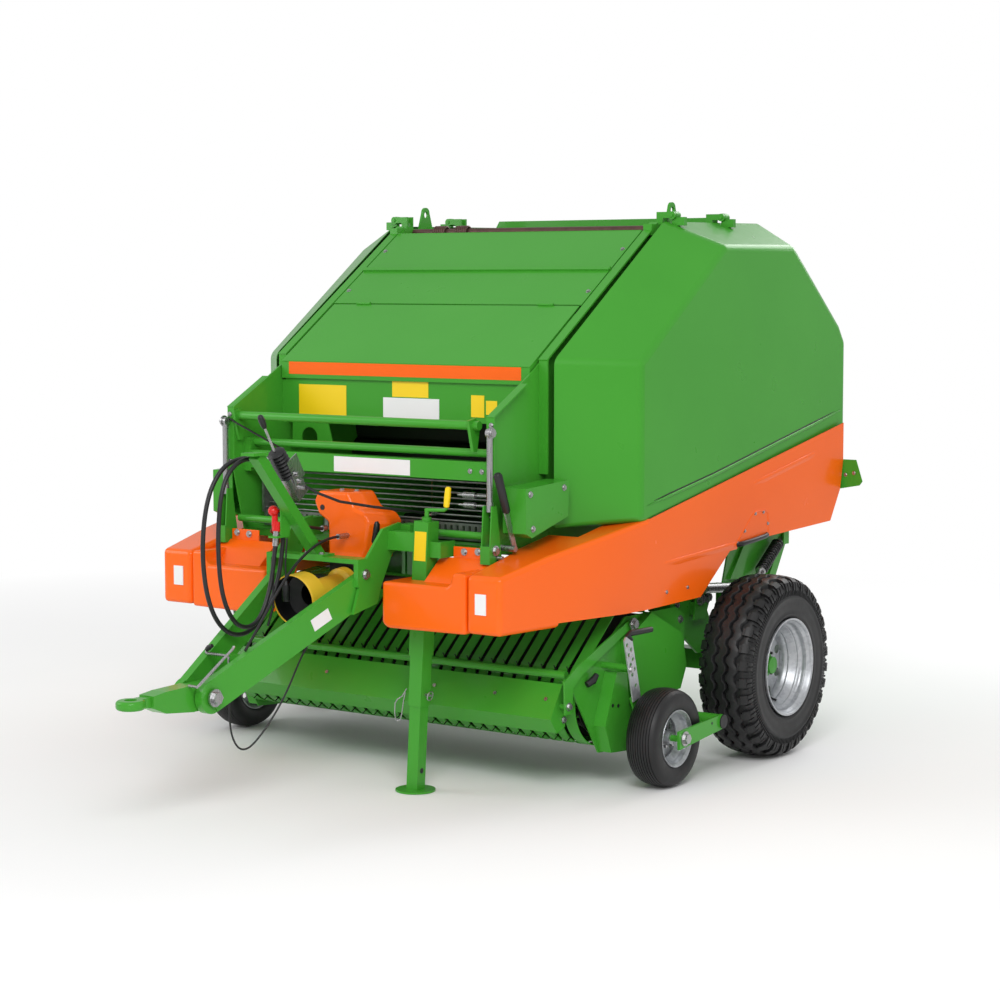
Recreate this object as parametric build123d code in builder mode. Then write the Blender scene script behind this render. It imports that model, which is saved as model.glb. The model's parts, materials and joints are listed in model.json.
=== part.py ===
from build123d import *
from math import atan2, cos, hypot, pi, radians, sin, tan
import os

# A towed round baler: two main wheels, a V drawbar with a tow eye, a pickup on gauge wheels,
# a round bale chamber with a rear door, gull-wing side covers and a parking jack.
#
# Frame: +Z is up from the ground, the hitch points along -Y, and +X is the machine's left side.
# The origin is on the ground under the middle of the machine. Sizes are in millimetres.

os.makedirs("parts", exist_ok=True)

# ---- driving dimensions ------------------------------------------------------------------
LENGTH = 4150.0          # tow eye to the rear edge of the side covers
FRONT = -LENGTH / 2
REAR = LENGTH / 2
AXLE_Y = 830.0           # main axle, behind the middle of the machine
WHEEL_R = 411.0          # 11.5/80-15.3 implement tyre, as it stands under the machine's weight
WHEEL_WIDTH = 266.0
WHEEL_OUT = 1333.0       # outer face of the main tyre
RIM_R = 219.0            # rim flange
GAUGE_R = 211.0          # 16x6.50-8 gauge wheel
GAUGE_IN, GAUGE_OUT = 1104.0, 1254.0
GAUGE_Y = -17.0
GAUGE_RIM_R = 122.0
SHEET_IN, SHEET_OUT = 692.0, 700.0     # the side frames' sheet
CHAMBER_Y, CHAMBER_Z, CHAMBER_R = 840.0, 1600.0, 620.0
SPLIT_Y = 840.0          # where the rear door meets the side frames
DOOR_HINGE_Z = 2388.0
DOOR_PIN_R, DOOR_BOSS_R = 12.0, 24.0
HOOD_FRONT_Y, HOOD_FRONT_Z = -310.0, 1785.0
HOOD_TOP_Y, HOOD_TOP_Z = 630.0, 2413.0
LID_SEAM_Z = 2045.0
RIB_Z = 2194.0
COVER_IN, COVER_OUT = 760.0, 1040.0    # inner edge and outer face of a side cover
COVER_WALL = 7.0
COVER_HINGE_X, COVER_HINGE_Z = 792.0, 2442.0
COVER_HINGE_YS = (690.0, 1135.0)
PICKUP_Y, PICKUP_Z = 470.0, 640.0      # the pickup's lifting pivot
REEL_Y, REEL_Z = -150.0, 370.0
BAND_R = 200.0
GUARD_Y, GUARD_Z = 47.0, 672.0         # the wind guard's pivot
JACK_X, JACK_Y = 371.0, -702.0
HITCH_Z = 524.0
PIVOT_Y, PIVOT_Z = -1640.0, 505.0      # bolt between tongue and drawbar
AXLE_STUB_R, STUB_END = 24.0, 1217.0
SKIN = 6.0               # panels and rolled sheets
LID_HALF = 686.0
GRILLE_RODS, COMB_SLOTS = 9, 40
TOW_EYE_Y, TOW_EYE_R = FRONT + 58.0, 25.0
PTO_Z, PTO_R = 857.0, 17.4
SIDES = ((1, "left"), (-1, "right"))

HOOD_SLOPE = (HOOD_TOP_Z - HOOD_FRONT_Z) / (HOOD_TOP_Y - HOOD_FRONT_Y)


def hood_z(y):
    """Height of the sloping hood's top face at y."""
    return HOOD_FRONT_Z + (y - HOOD_FRONT_Y) * HOOD_SLOPE


def hood_y(z):
    """Where the sloping hood's top face reaches the height z."""
    return HOOD_FRONT_Y + (z - HOOD_FRONT_Z) / HOOD_SLOPE


def span(side, inner, outer):
    """The X range of something between inner and outer on one side (1 left, -1 right)."""
    if side > 0:
        return inner, outer
    return -outer, -inner


# ---- shapes added to the part that is open ----------------------------------------------
def slab(outline, x_low, x_high, mode=Mode.ADD):
    """A sheet or block: an outline in the Y-Z plane, from x_low to x_high."""
    with BuildSketch(Plane.YZ.offset(x_low)) as face:
        with BuildLine():
            Polyline(*outline, close=True)
        make_face()
    extrude(face.sketch, amount=x_high - x_low, mode=mode)


def plan_slab(outline, z_low, z_high, mode=Mode.ADD):
    """The same from an outline in the X-Y plane, from z_low to z_high."""
    with BuildSketch(Plane.XY.offset(z_low)) as face:
        with BuildLine():
            Polyline(*outline, close=True)
        make_face()
    extrude(face.sketch, amount=z_high - z_low, mode=mode)


def cross_slab(outline, y_low, y_high, mode=Mode.ADD):
    """The same from an outline in the X-Z plane, from y_low to y_high."""
    with BuildSketch(Plane.XZ.offset(-y_high)) as face:
        with BuildLine():
            Polyline(*outline, close=True)
        make_face()
    extrude(face.sketch, amount=y_high - y_low, mode=mode)


def block(x_span, y_span, z_span, mode=Mode.ADD):
    """A box between three pairs of limits."""
    with Locations(((x_span[0] + x_span[1]) / 2, (y_span[0] + y_span[1]) / 2, (z_span[0] + z_span[1]) / 2)):
        Box(x_span[1] - x_span[0], y_span[1] - y_span[0], z_span[1] - z_span[0], mode=mode)


def rod(start, end, radius, mode=Mode.ADD):
    """A round bar between two points."""
    run = Vector(*end) - Vector(*start)
    with Locations(Plane(origin=start, z_dir=run)):
        Cylinder(radius, run.length, align=(Align.CENTER, Align.CENTER, Align.MIN), mode=mode)


def bar_x(y, z, radius, x_low, x_high, mode=Mode.ADD):
    """A round bar across the machine."""
    rod((x_low, y, z), (x_high, y, z), radius, mode)


def beam(start, end, width, depth, mode=Mode.ADD):
    """A rectangular bar between two points: width across, depth in the upright plane."""
    run = Vector(*end) - Vector(*start)
    across = Vector(-run.Y, run.X, 0) if hypot(run.X, run.Y) > 1e-6 else Vector(1, 0, 0)
    with Locations(Plane(origin=start, z_dir=run, x_dir=across)):
        Box(width, depth, run.length, align=(Align.CENTER, Align.CENTER, Align.MIN), mode=mode)


def strip(points, thick):
    """The outline of a bent sheet: its lower face follows the points, thick is measured upwards
    across each run."""
    upper = []
    for i, (y, z) in enumerate(points):
        before = points[max(i - 1, 0)]
        after = points[min(i + 1, len(points) - 1)]
        turn_in = atan2(z - before[1], y - before[0]) if i else None
        turn_out = atan2(after[1] - z, after[0] - y) if i < len(points) - 1 else None
        angle_in = turn_out if turn_in is None else turn_in
        angle_out = turn_in if turn_out is None else turn_out
        middle = (angle_in + angle_out) / 2
        reach = thick / cos((angle_out - angle_in) / 2)
        upper.append((y - reach * sin(middle), z + reach * cos(middle)))
    return list(points) + upper[::-1]


def arc_sheet(centre, radius, thick, start, end, x_low, x_high, mode=Mode.ADD):
    """A rolled sheet: part of a ring in the Y-Z plane, from start to end degrees."""
    y, z = centre

    def at(r, angle):
        return (y + r * cos(radians(angle)), z + r * sin(radians(angle)))

    middle = (start + end) / 2
    with BuildSketch(Plane.YZ.offset(x_low)) as face:
        with BuildLine():
            ThreePointArc(at(radius, start), at(radius, middle), at(radius, end))
            Line(at(radius, end), at(radius + thick, end))
            ThreePointArc(at(radius + thick, end), at(radius + thick, middle), at(radius + thick, start))
            Line(at(radius + thick, start), at(radius, start))
        make_face()
    extrude(face.sketch, amount=x_high - x_low, mode=mode)


def save(piece, label):
    """Name a finished piece and write it."""
    piece.label = label
    export_step(piece, f"parts/{label}.step")


def turned(axis_y, axis_z, profile, side):
    """Revolve (radius, X) pairs about the cross axis through (axis_y, axis_z)."""
    plane = Plane(origin=(0, axis_y, axis_z), x_dir=(0, 0, 1), z_dir=(0, -1, 0))
    with BuildSketch(plane) as face:
        with BuildLine():
            Polyline(*[(r, -side * x) for r, x in profile], close=True)
        make_face()
    revolve(face.sketch, axis=Axis((0, axis_y, axis_z), (1, 0, 0)))


# ---- side frames, axle and chamber ---------------------------------------------------------
FRAME_FRONT_Y = -633.0
FRAME_OUTLINE = (
    (FRAME_FRONT_Y, 1300), (FRAME_FRONT_Y, 1590), (-392, 1719), (-300, 1770),
    (HOOD_TOP_Y, HOOD_TOP_Z - 14), (SPLIT_Y - 6, HOOD_TOP_Z - 14),
    (SPLIT_Y - 6, 880), (250, 880), (-150, 1010), (-560, 1010),
)
RAIL_Z = (2352.0, 2402.0)
CYLINDER_Y = -655.0
LIFT_EYE_R = 16.0
HANGER_IN, HANGER_OUT = 918.0, 930.0
PIVOT_PIN_R, PIVOT_HOLE_R = 20.0, 20.05
GUARD_PIN_R, GUARD_HOLE_R = 9.0, 9.05
BEAM_HALF = 45.0
SPRING_X, SPRING_LOW_Z, SPRING_TOP = 990.0, 757.0, (1363, 926)
SPRING_IN = 950.0        # the outer face of the sheet behind the spring
BEAM_TOP = WHEEL_R + BEAM_HALF


def side_frame(side):
    """One side sheet with its front flange, edge rail beside the hood, top rail and the fixed
    halves of the cover hinges."""
    with BuildPart() as frame:
        slab(FRAME_OUTLINE, *span(side, SHEET_IN, SHEET_OUT))
        bar_x(SPLIT_Y, DOOR_HINGE_Z, DOOR_BOSS_R + 6, *span(side, SHEET_IN, SHEET_OUT), mode=Mode.SUBTRACT)
        edge = span(side, SHEET_OUT, 730)
        block(edge, (FRAME_FRONT_Y, FRAME_FRONT_Y + 6), (1300, 1590))
        slab(strip([(FRAME_FRONT_Y, 1584), (-392, 1713)], 6), *edge)
        # the sloping rail beside the hood, and the post under it
        rail = span(side, SHEET_OUT, 744)
        slab(strip([(-262, hood_z(-262) - 8), (HOOD_TOP_Y, HOOD_TOP_Z - 8)], 8), *rail)
        block(rail, (-262, -254), (1330, hood_z(-262)))
        # the top rail that carries both cover hinges, and the rear door's hinge pin
        block(span(side, SHEET_OUT, 744), (HOOD_TOP_Y - 60, 1175), RAIL_Z)
        bar_x(SPLIT_Y, DOOR_HINGE_Z, DOOR_PIN_R, *span(side, SHEET_IN - 8, SHEET_OUT))
        for hinge_y in COVER_HINGE_YS:
            block(span(side, 712, 744), (hinge_y - 26, hinge_y + 26), (RAIL_Z[1], RAIL_Z[1] + 8))
            for ear in (-26, 14):
                lug = [(712, RAIL_Z[1]), (744, RAIL_Z[1]), (746, 2430), (790, 2430), (790, 2458), (712, 2458)]
                cross_slab([(side * x, z) for x, z in lug], hinge_y + ear, hinge_y + ear + 12)
                rod((side * COVER_HINGE_X, hinge_y + ear, COVER_HINGE_Z),
                    (side * COVER_HINGE_X, hinge_y + ear + 12, COVER_HINGE_Z), 18)
            rod((side * COVER_HINGE_X, hinge_y - 32, COVER_HINGE_Z),
                (side * COVER_HINGE_X, hinge_y + 32, COVER_HINGE_Z), 8)
        # the lifting ear
        with BuildSketch(Plane.YZ.offset(span(side, SHEET_OUT, 712)[0])) as ear_face:
            with BuildLine():
                Polyline((HOOD_TOP_Y + 120, 2399), (HOOD_TOP_Y + 122, 2402), (HOOD_TOP_Y + 148, 2480))
                ThreePointArc((HOOD_TOP_Y + 148, 2480), (HOOD_TOP_Y + 175, 2506), (HOOD_TOP_Y + 202, 2480))
                Polyline((HOOD_TOP_Y + 202, 2480), (HOOD_TOP_Y + 228, 2402), (HOOD_TOP_Y + 120, 2399))
            make_face()
            with Locations((HOOD_TOP_Y + 175, 2470)):
                Circle(LIFT_EYE_R, mode=Mode.SUBTRACT)
        extrude(ear_face.sketch, amount=12)
    return frame.part


for side, name in SIDES:
    save(side_frame(side), f"side_frame_{name}")

# the legs down to the axle, the hangers that carry the pickup, and the brackets of the springs
with BuildPart() as wheel_hangers:
    for side, name in SIDES:
        slab([(690, BEAM_TOP), (890, BEAM_TOP), (930, 640), (SPLIT_Y - 6, 1000), (640, 1000), (640, 640)],
             *span(side, SHEET_OUT, 712))
        slab([(440, 590), (500, 590), (690, BEAM_TOP), (890, BEAM_TOP), (890, 500), (800, 600), (620, 900),
              (440, 900)], *span(side, HANGER_IN, HANGER_OUT))
        block(span(side, 712, HANGER_IN), (612, 620), (640, 900))
        block(span(side, SHEET_OUT, HANGER_IN), (440, 448), (820, 900))
        bar_x(PICKUP_Y, PICKUP_Z, PIVOT_HOLE_R, *span(side, HANGER_IN - 5, HANGER_OUT + 5),
              mode=Mode.SUBTRACT)
        # the brackets of the spring and cylinder above the main wheel
        block(span(side, HANGER_OUT, 955), (620, 700), (640, 700))
        slab([(600, 620), (700, 620), (740, 700), (700, 790), (630, 790)], *span(side, 955, 963))
        bar_x(660, SPRING_LOW_Z + 5, 12, *span(side, 955, SPRING_X - 23.5))
        # the sheet behind the spring, with its stiffening rib
        slab([(880, 600), (1180, 640), (1386, 738), (1505, 920), (1505, 1000), (960, 1000), (880, 760)],
             *span(side, SPRING_IN - 8, SPRING_IN))
        slab([(925, 772), (1035, 765), (1112, 925), (1052, 920)], *span(side, SPRING_IN, SPRING_IN + 14))
        slab([(1290, 730), (1345, 740), (1505, 970), (1480, 1000), (1450, 950)], *span(side, SPRING_IN, SPRING_IN + 10))
        block(span(side, HANGER_IN, SPRING_IN), (872, 880), (600, 760))
        slab([(780, 940), (1395, 960), (1395, 1010), (780, 1000)], *span(side, 706, 714))
        block(span(side, 706, SPRING_X + 26), (1340, 1385), (985, 1010))
        slab([(1345, 900), (1395, 900), (1395, 1010), (1345, 1010)], *span(side, SPRING_X + 18, SPRING_X + 26))
        bar_x(*SPRING_TOP, 11, *span(side, SPRING_X + 9.5, SPRING_X + 26))
save(wheel_hangers.part, "wheel_hangers")

with BuildPart() as axle:
    block((-1020, 1020), (AXLE_Y - BEAM_HALF, AXLE_Y + BEAM_HALF), (WHEEL_R - BEAM_HALF, BEAM_TOP))
    for side, name in SIDES:
        rod((side * 1020, AXLE_Y, WHEEL_R), (side * STUB_END, AXLE_Y, WHEEL_R), AXLE_STUB_R)
save(axle.part, "axle")

# the fixed front half of the bale chamber, open below at its intake, with the feed floor
with BuildPart() as chamber_front:
    centre = (CHAMBER_Y, CHAMBER_Z)
    arc_sheet(centre, CHAMBER_R, SKIN, 91, 205, -SHEET_IN, SHEET_IN)
    arc_sheet(centre, CHAMBER_R, SKIN, 250, 269, -SHEET_IN, SHEET_IN)
    slab(strip([(300, 890), (470, 930), (628, 1008)], SKIN), -SHEET_IN, SHEET_IN)
    bar_x(262, 1345, 62, -SHEET_IN, SHEET_IN)
save(chamber_front.part, "chamber_front")

# the rear door: outer skin, inner rolled sheet and two side sheets
DOOR_OUTLINE = ((SPLIT_Y + 6, 2384), (1180, 2384), (1520, 2330), (1880, 2010), (1985, 1780),
                (1985, 1480), (1850, 1130), (1560, 890), (1200, 822), (SPLIT_Y + 6, 850))
with BuildPart() as tailgate:
    for side, name in SIDES:
        slab(DOOR_OUTLINE, *span(side, SHEET_IN, SHEET_OUT))
        bar_x(SPLIT_Y, DOOR_HINGE_Z, DOOR_BOSS_R, *span(side, SHEET_IN, SHEET_OUT))
    door_skin = [(1180, 2384), (1520, 2330), (1880, 2010), (1985, 1780), (1985, 1480), (1850, 1130),
                 (1560, 890), (1200, 822), (SPLIT_Y + 6, 850)]
    slab(strip(door_skin[::-1], SKIN), -SHEET_IN, SHEET_IN)
    arc_sheet((CHAMBER_Y, CHAMBER_Z), CHAMBER_R, SKIN, -89, 89, -SHEET_IN, SHEET_IN)
    # the raised front edge of the top panel, cut short at the right end
    cross_slab([(-560, 2380), (SHEET_OUT, 2380), (SHEET_OUT, 2444), (-520, 2444)], 1174, 1180)
    bar_x(SPLIT_Y, DOOR_HINGE_Z, DOOR_PIN_R + 0.05, -SHEET_OUT - 1, SHEET_OUT + 1, mode=Mode.SUBTRACT)
save(tailgate.part, "tailgate")

# the cross shaft behind the hood, with two collars near its right end
SHAFT_AT = (700, 2380)
with BuildPart() as top_shaft:
    bar_x(*SHAFT_AT, 19, -SHEET_IN, SHEET_IN)
    for x in (-560, -430):
        bar_x(*SHAFT_AT, 34, x, x + 70)
save(top_shaft.part, "top_shaft")

# ---- hood, lid and front panel -------------------------------------------------------------
seam_y, rib_y = hood_y(LID_SEAM_Z), hood_y(RIB_Z)
hood_end_y, hood_end_z = HOOD_TOP_Y - 54, hood_z(HOOD_TOP_Y - 54)
with BuildPart() as hood:
    slab(strip([(seam_y, LID_SEAM_Z - SKIN), (rib_y, RIB_Z - SKIN), (hood_end_y, hood_end_z - SKIN)], SKIN),
         -SHEET_IN, SHEET_IN)
    slab(strip([(rib_y - 6, RIB_Z - 3), (rib_y + 12, RIB_Z + 10)], 10), -SHEET_IN, SHEET_IN)
    block((-SHEET_IN, SHEET_IN), (hood_end_y - 6, hood_end_y), (hood_end_z - 60, hood_end_z - 1))
save(hood.part, "hood")

LID_HINGE = (seam_y - 10.5, LID_SEAM_Z - 1.5)
with BuildPart() as hood_lid:
    slab(strip([(HOOD_FRONT_Y, HOOD_FRONT_Z - SKIN), (seam_y - 8, LID_SEAM_Z - 8 * HOOD_SLOPE - SKIN)], SKIN),
         -LID_HALF, LID_HALF)
    block((-LID_HALF, LID_HALF), (HOOD_FRONT_Y - 1, HOOD_FRONT_Y + 4), (1708, HOOD_FRONT_Z + 2))
    for side, name in SIDES:
        slab([(HOOD_FRONT_Y, 1708), (HOOD_FRONT_Y, HOOD_FRONT_Z), (seam_y - 40, LID_SEAM_Z - 40),
              (seam_y - 40, LID_SEAM_Z - 70)], *span(side, LID_HALF - 4, LID_HALF))
        bar_x(*LID_HINGE, 6, *span(side, 470, 550))
save(hood_lid.part, "hood_lid")

with BuildPart() as front_panel:
    block((-674, 674), (-298, -294), (1540, 1735))
    block((-674, 674), (-298, -262), (1536, 1540))
    for side, name in SIDES:
        block(span(side, 674, SHEET_IN), (-298, -294), (1536, 1700))
    # the cutter bracket with its round window, below the panel's right end
    cross_slab([(-640, 1400), (-400, 1400), (-440, 1536), (-640, 1536)], -292, -286)
    rod((-540, -300, 1440), (-540, -280, 1440), 46, mode=Mode.SUBTRACT)
save(front_panel.part, "front_panel")

# ---- cross members, posts and the front grille ------------------------------------------------
with BuildPart() as front_frame:
    block((-655, 655), (-566, -554), (1315, 1395))
    block((-655, 655), (-566, -520), (1389, 1395))
    bar_x(-530, 1430, 17, -660, 660)
    block((-SHEET_IN, SHEET_IN), (-560, -470), (1012, 1042))
    for side, name in SIDES:
        bar_x(-600, 1090, 16, *span(side, 300, SHEET_IN))
        slab([(-566, 1300), (-566, 1450), (-500, 1450), (-500, 1300)], *span(side, 655, SHEET_IN))
        slab([(-690, 985), (-600, 985), (-640, 1225), (-672, 1225)], *span(side, SHEET_OUT, 706))
        slab([(-690, 985), (-600, 985), (-640, 1225), (-672, 1225)], *span(side, 742, 748))
        block(span(side, SHEET_OUT, 748), (-690, -684), (985, 1060))
    # the lift shaft with its two crank plates
    bar_x(-610, 1550, 19, -690, 640)
    for x in (-690, 600):
        slab([(-650, 1570), (-600, 1580), (-570, 1540), (-590, 1440), (-615, 1440)], x, x + 14)
save(front_frame.part, "front_frame")

with BuildPart() as lift_cylinders:
    for side, name in SIDES:
        rod((side * 724, CYLINDER_Y, 1200), (side * 724, CYLINDER_Y, 1240), 15)
        rod((side * 724, CYLINDER_Y, 1230), (side * 724, CYLINDER_Y, 1515), 13)
        bar_x(CYLINDER_Y, 1525, 18, *span(side, 712, 736))
save(lift_cylinders.part, "lift_cylinders")

with BuildPart() as grille:
    for i in range(GRILLE_RODS):
        share = i / (GRILLE_RODS - 1)
        bar_x(-470 + 190 * share, 1130 + 170 * share, 4, -650, 650)
    for side, name in SIDES:
        block(span(side, 644, 656), (-490, -262), (1110, 1318))
    block((-650, 650), (-482, -470), (1050, 1122))
    for i in range(COMB_SLOTS):
        x = -640 + (i + 0.5) * 1280 / COMB_SLOTS
        block((x - 6, x + 6), (-490, -460), (1062, 1112), mode=Mode.SUBTRACT)
save(grille.part, "grille")

# the cover over the side drive, and the drive case of the other side
with BuildPart() as drive_covers:
    for side, name in SIDES:
        slab([(-590, 1110), (-590, 1297), (-270, 1312), (-276, 1160), (-545, 1090)],
             *span(side, 744, 860))
        slab([(-584, 1116), (-584, 1291), (-260, 1306), (-260, 1170), (-544, 1097)],
             *span(side, 740, 854), mode=Mode.SUBTRACT)
save(drive_covers.part, "drive_covers")

with BuildPart() as brake_lever:
    rod((792, -588, 1048), (792, -642, 1178), 9)
    rod((792, -636, 1164), (792, -712, 1352), 17)
    rod((SHEET_OUT, -586, 1046), (806, -586, 1046), 13)
save(brake_lever.part, "brake_lever")

# ---- drawbar, tongue, driveline ----------------------------------------------------------------
ARM_START = Vector(62, PIVOT_Y, PIVOT_Z)
ARM_END = Vector(226, -860, 880)
with BuildPart() as drawbar:
    for side, name in SIDES:
        start = Vector(side * ARM_START.X, ARM_START.Y, ARM_START.Z)
        end = Vector(side * ARM_END.X, ARM_END.Y, ARM_END.Z)
        beam(start, end, 34, 130)
        bar_x(PIVOT_Y, PIVOT_Z, 65, *span(side, 44, 80))
        # the plate that turns up to the bolt on the frame
        slab([(-960, 770), (-880, 985), (-760, 1110), (-640, 1128), (-600, 1050), (-700, 1000),
              (-770, 880), (-800, 800)], *span(side, 236, 250))
        block(span(side, 236, 300), (-640, -566), (1042, 1120))
    bar_x(PIVOT_Y, PIVOT_Z, 16, -92, 92)
    block((-250, 250), (-930, -850), (976, 996))
    for side, name in SIDES:
        block(span(side, 226, 250), (-930, -850), (880, 976))
    block((-100, 100), (-1440, -1400), (560, 640))
save(drawbar.part, "drawbar")

with BuildPart() as tongue:
    rod((0, TOW_EYE_Y, HITCH_Z - 19), (0, TOW_EYE_Y, HITCH_Z + 19), 58)
    fillet(tongue.edges().filter_by(GeomType.CIRCLE), 14)
    block((-38, 38), (-1700, -1580), (PIVOT_Z - 52, PIVOT_Z + 52))
    slab([(-1700, 452), (-1700, 560), (-1860, 556), (-1930, 548), (-1930, 500), (-1860, 470)], -38, 38)
    block((-24, 24), (TOW_EYE_Y + 40, -1920), (HITCH_Z - 19, HITCH_Z + 19))
    rod((0, TOW_EYE_Y, HITCH_Z - 30), (0, TOW_EYE_Y, HITCH_Z + 30), TOW_EYE_R, mode=Mode.SUBTRACT)
    bar_x(PIVOT_Y, PIVOT_Z, 16, -40, 40, mode=Mode.SUBTRACT)
save(tongue.part, "tongue")

GEARBOX_LOW = 822.0      # the wind guard passes under here with the pickup and the guard both raised
with BuildPart() as gearbox:
    block((-90, 90), (-700, -560), (GEARBOX_LOW, 940))
    rod((0, -700, PTO_Z), (0, -735, PTO_Z), 60)
    rod((0, -735, PTO_Z), (0, -800, PTO_Z), PTO_R)
    rod((90, -610, PTO_Z + 10), (SHEET_IN, -610, PTO_Z + 10), 26)
    block((-110, 110), (-720, -540), (940, 952))
    block((-236, -90), (-660, -600), (850, 870))
save(gearbox.part, "gearbox")

with BuildPart() as gearbox_cover:
    cross_slab([(-70, 962), (150, 962), (170, 1030), (205, 1130), (180, 1180), (120, 1215), (80, 1250),
                (-130, 1250), (-150, 1200), (-120, 1150), (-70, 1120)], -735, -566)
    cross_slab([(-62, 950), (142, 950), (162, 1032), (196, 1130), (174, 1173), (116, 1207), (77, 1242),
                (-124, 1242), (-142, 1200), (-113, 1156), (-62, 1126)], -727, -480, mode=Mode.SUBTRACT)
save(gearbox_cover.part, "gearbox_cover")

# the guard's bell droops a little from the gearbox
GUARD_TILT = radians(6.1)
with BuildPart() as pto_guard:
    guard_plane = Plane(origin=(0, -706, PTO_Z), x_dir=(1, 0, 0),
                        z_dir=(0, -sin(GUARD_TILT), cos(GUARD_TILT)))
    with BuildSketch(guard_plane) as bell_face:
        with BuildLine():
            Polyline((71, 0), (71, -40), (54, -56), (54, -232), (105, -258), (109, -346), (105, -346),
                     (101, -262), (50, -236), (50, -52), (67, -38), (67, 0), close=True)
        make_face()
    revolve(bell_face.sketch, axis=Axis((0, -706, PTO_Z), (0, cos(GUARD_TILT), sin(GUARD_TILT))))
save(pto_guard.part, "pto_guard")

# ---- routes of the hoses and cables, from one held end to the other -------------------------------
HOSE_R, SPIRAL_R, LOOP_R = 9.5, 6.0, 4.0
HOSE_OUTER = (
    (-68, -1262, 1425), (-68, -1332, 1425), (-82, -1412, 1379), (-90, -1480, 1262), (-92, -1508, 1060),
    (-90, -1478, 850), (-84, -1392, 722), (-78, -1270, 690), (-70, -1155, 755), (-58, -1085, 885),
    (-51, -1060, 1010), (-50, -1052, 1100),
)
HOSE_INNER = (
    (-38, -1262, 1425), (-38, -1318, 1425), (-41, -1382, 1391), (-43, -1427, 1333), (-45, -1452, 1233),
    (-46, -1462, 1060), (-47, -1440, 880), (-48, -1375, 765), (-50, -1290, 725), (-50, -1207, 752),
    (-50, -1148, 850), (-50, -1118, 960), (-50, -1105, 1050),
)
CABLE_SPIRAL = (
    (36, -792, 1067), (36, -850, 1067), (38, -935, 1050), (44, -1033, 1011), (52, -1133, 953),
    (64, -1230, 875), (78, -1328, 789), (90, -1405, 722), (98, -1465, 672),
)
CABLE_LOOP = (
    (140, -1085, 690), (112, -1105, 640), (92, -1140, 560), (76, -1180, 470), (58, -1235, 380),
    (40, -1310, 295), (22, -1365, 246), (8, -1408, 250), (2, -1440, 300), (1, -1454, 365),
    (0, -1452, 430), (0, -1452, 500),
)
CORDS = (
    # node, radius, route
    ("hose_outer", HOSE_R, HOSE_OUTER),
    ("hose_inner", HOSE_R, HOSE_INNER),
    ("cable_spiral", SPIRAL_R, CABLE_SPIRAL),
    ("cable_loop", LOOP_R, CABLE_LOOP),
)
COUPLER_LENGTH, COUPLER_R = 62.0, 12.5


def along(start, toward, reach):
    """The point at a reach from start on the way to toward."""
    run = Vector(*toward) - Vector(*start)
    return tuple(Vector(*start) + run.normalized() * reach)


POST_TOP, POST_FOOT = (0, -1277, 1440), (0, -882, 985)
with BuildPart() as hose_stand:
    beam(POST_TOP, POST_FOOT, 50, 44)
    plan_slab([(-60, -930), (60, -930), (60, -850), (-60, -850)], 996, 1004)
    block((-80, 80), (-960, -800), (900, 996), mode=Mode.SUBTRACT)
    block((-35, 35), (-1330, -1240), (1440, 1452))
    # the clamp that holds both hoses beside the post, and the clip for their couplers
    block((-82, -25), (-1262, -1240), (1408, 1442))
    block((-31, -25), (-1095, -1040), (1085, 1215))
    block((-70, -25), (-1075, -1030), (1130, 1138))
    block((-70, -25), (-1125, -1080), (1085, 1093))
    for route in (HOSE_OUTER, HOSE_INNER):
        rod(route[-1], along(route[-1], route[-2], -COUPLER_LENGTH), COUPLER_R, mode=Mode.SUBTRACT)
save(hose_stand.part, "hose_stand")

with BuildPart() as control_valve:
    beam((0, -1113, 1354), (0, -1035, 1264), 70, 88)
    rod((0, -1085, 1345), (0, -1140, 1450), 30)
    rod((0, -1140, 1450), (0, -1212, 1538), 6)
    rod((0, -1205, 1530), (0, -1250, 1590), 13)
save(control_valve.part, "control_valve")

# ---- the springs and cylinders above the main wheels ------------------------------------------------
with BuildPart() as side_springs:
    for side, name in SIDES:
        x = side * SPRING_X
        rod((x, 1120, SPRING_LOW_Z), (x, *SPRING_TOP), 9)
        rod((x, 1160, 785), (x, 1330, 903), 24)
        rod((x, 640, SPRING_LOW_Z + 7), (x, 930, SPRING_LOW_Z - 19), 23)
        rod((x, 920, SPRING_LOW_Z - 18), (x, 1124, SPRING_LOW_Z), 9)
save(side_springs.part, "side_springs")

# ---- parking jack --------------------------------------------------------------------------------
JACK_OUT, JACK_IN, JACK_FOOT, JACK_WALL = 37.0, 32.5, 28.0, 4.0
JACK_LEAN = 63 / 1150    # the jack leans out to the left as it goes up


def on_jack(z):
    """The jack's centre line at the height z."""
    return (JACK_X + z * JACK_LEAN, JACK_Y, z)


JACK_TOP = on_jack(1150)
with BuildPart() as jack_tube:
    beam(on_jack(580), JACK_TOP, 2 * JACK_OUT, 2 * JACK_OUT)
    inner = JACK_OUT - JACK_WALL
    beam(on_jack(570), on_jack(1140), 2 * inner, 2 * inner, mode=Mode.SUBTRACT)
    block((250, JACK_TOP[0] - JACK_OUT - 2), (-730, -690), (1020, 1100))
    block((JACK_TOP[0] + JACK_OUT - 10, 520), (-720, -710), (1000, 1066))
    block((508, 520), (-710, -620), (1000, 1066))
    beam(on_jack(970), on_jack(1136), 2 * inner, 2 * inner, mode=Mode.SUBTRACT)
    rod(JACK_TOP, on_jack(1166), 20)
save(jack_tube.part, "jack_tube")

with BuildPart() as jack_leg:
    beam(on_jack(366), on_jack(760), 2 * JACK_IN, 2 * JACK_IN)
    beam(on_jack(6), on_jack(366), 2 * JACK_FOOT, 2 * JACK_FOOT)
    inner = JACK_FOOT - JACK_WALL
    beam(on_jack(10), on_jack(770), 2 * inner, 2 * inner, mode=Mode.SUBTRACT)
    rod((JACK_X, JACK_Y, 0), (JACK_X, JACK_Y, 8), 85)
save(jack_leg.part, "jack_leg")

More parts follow.
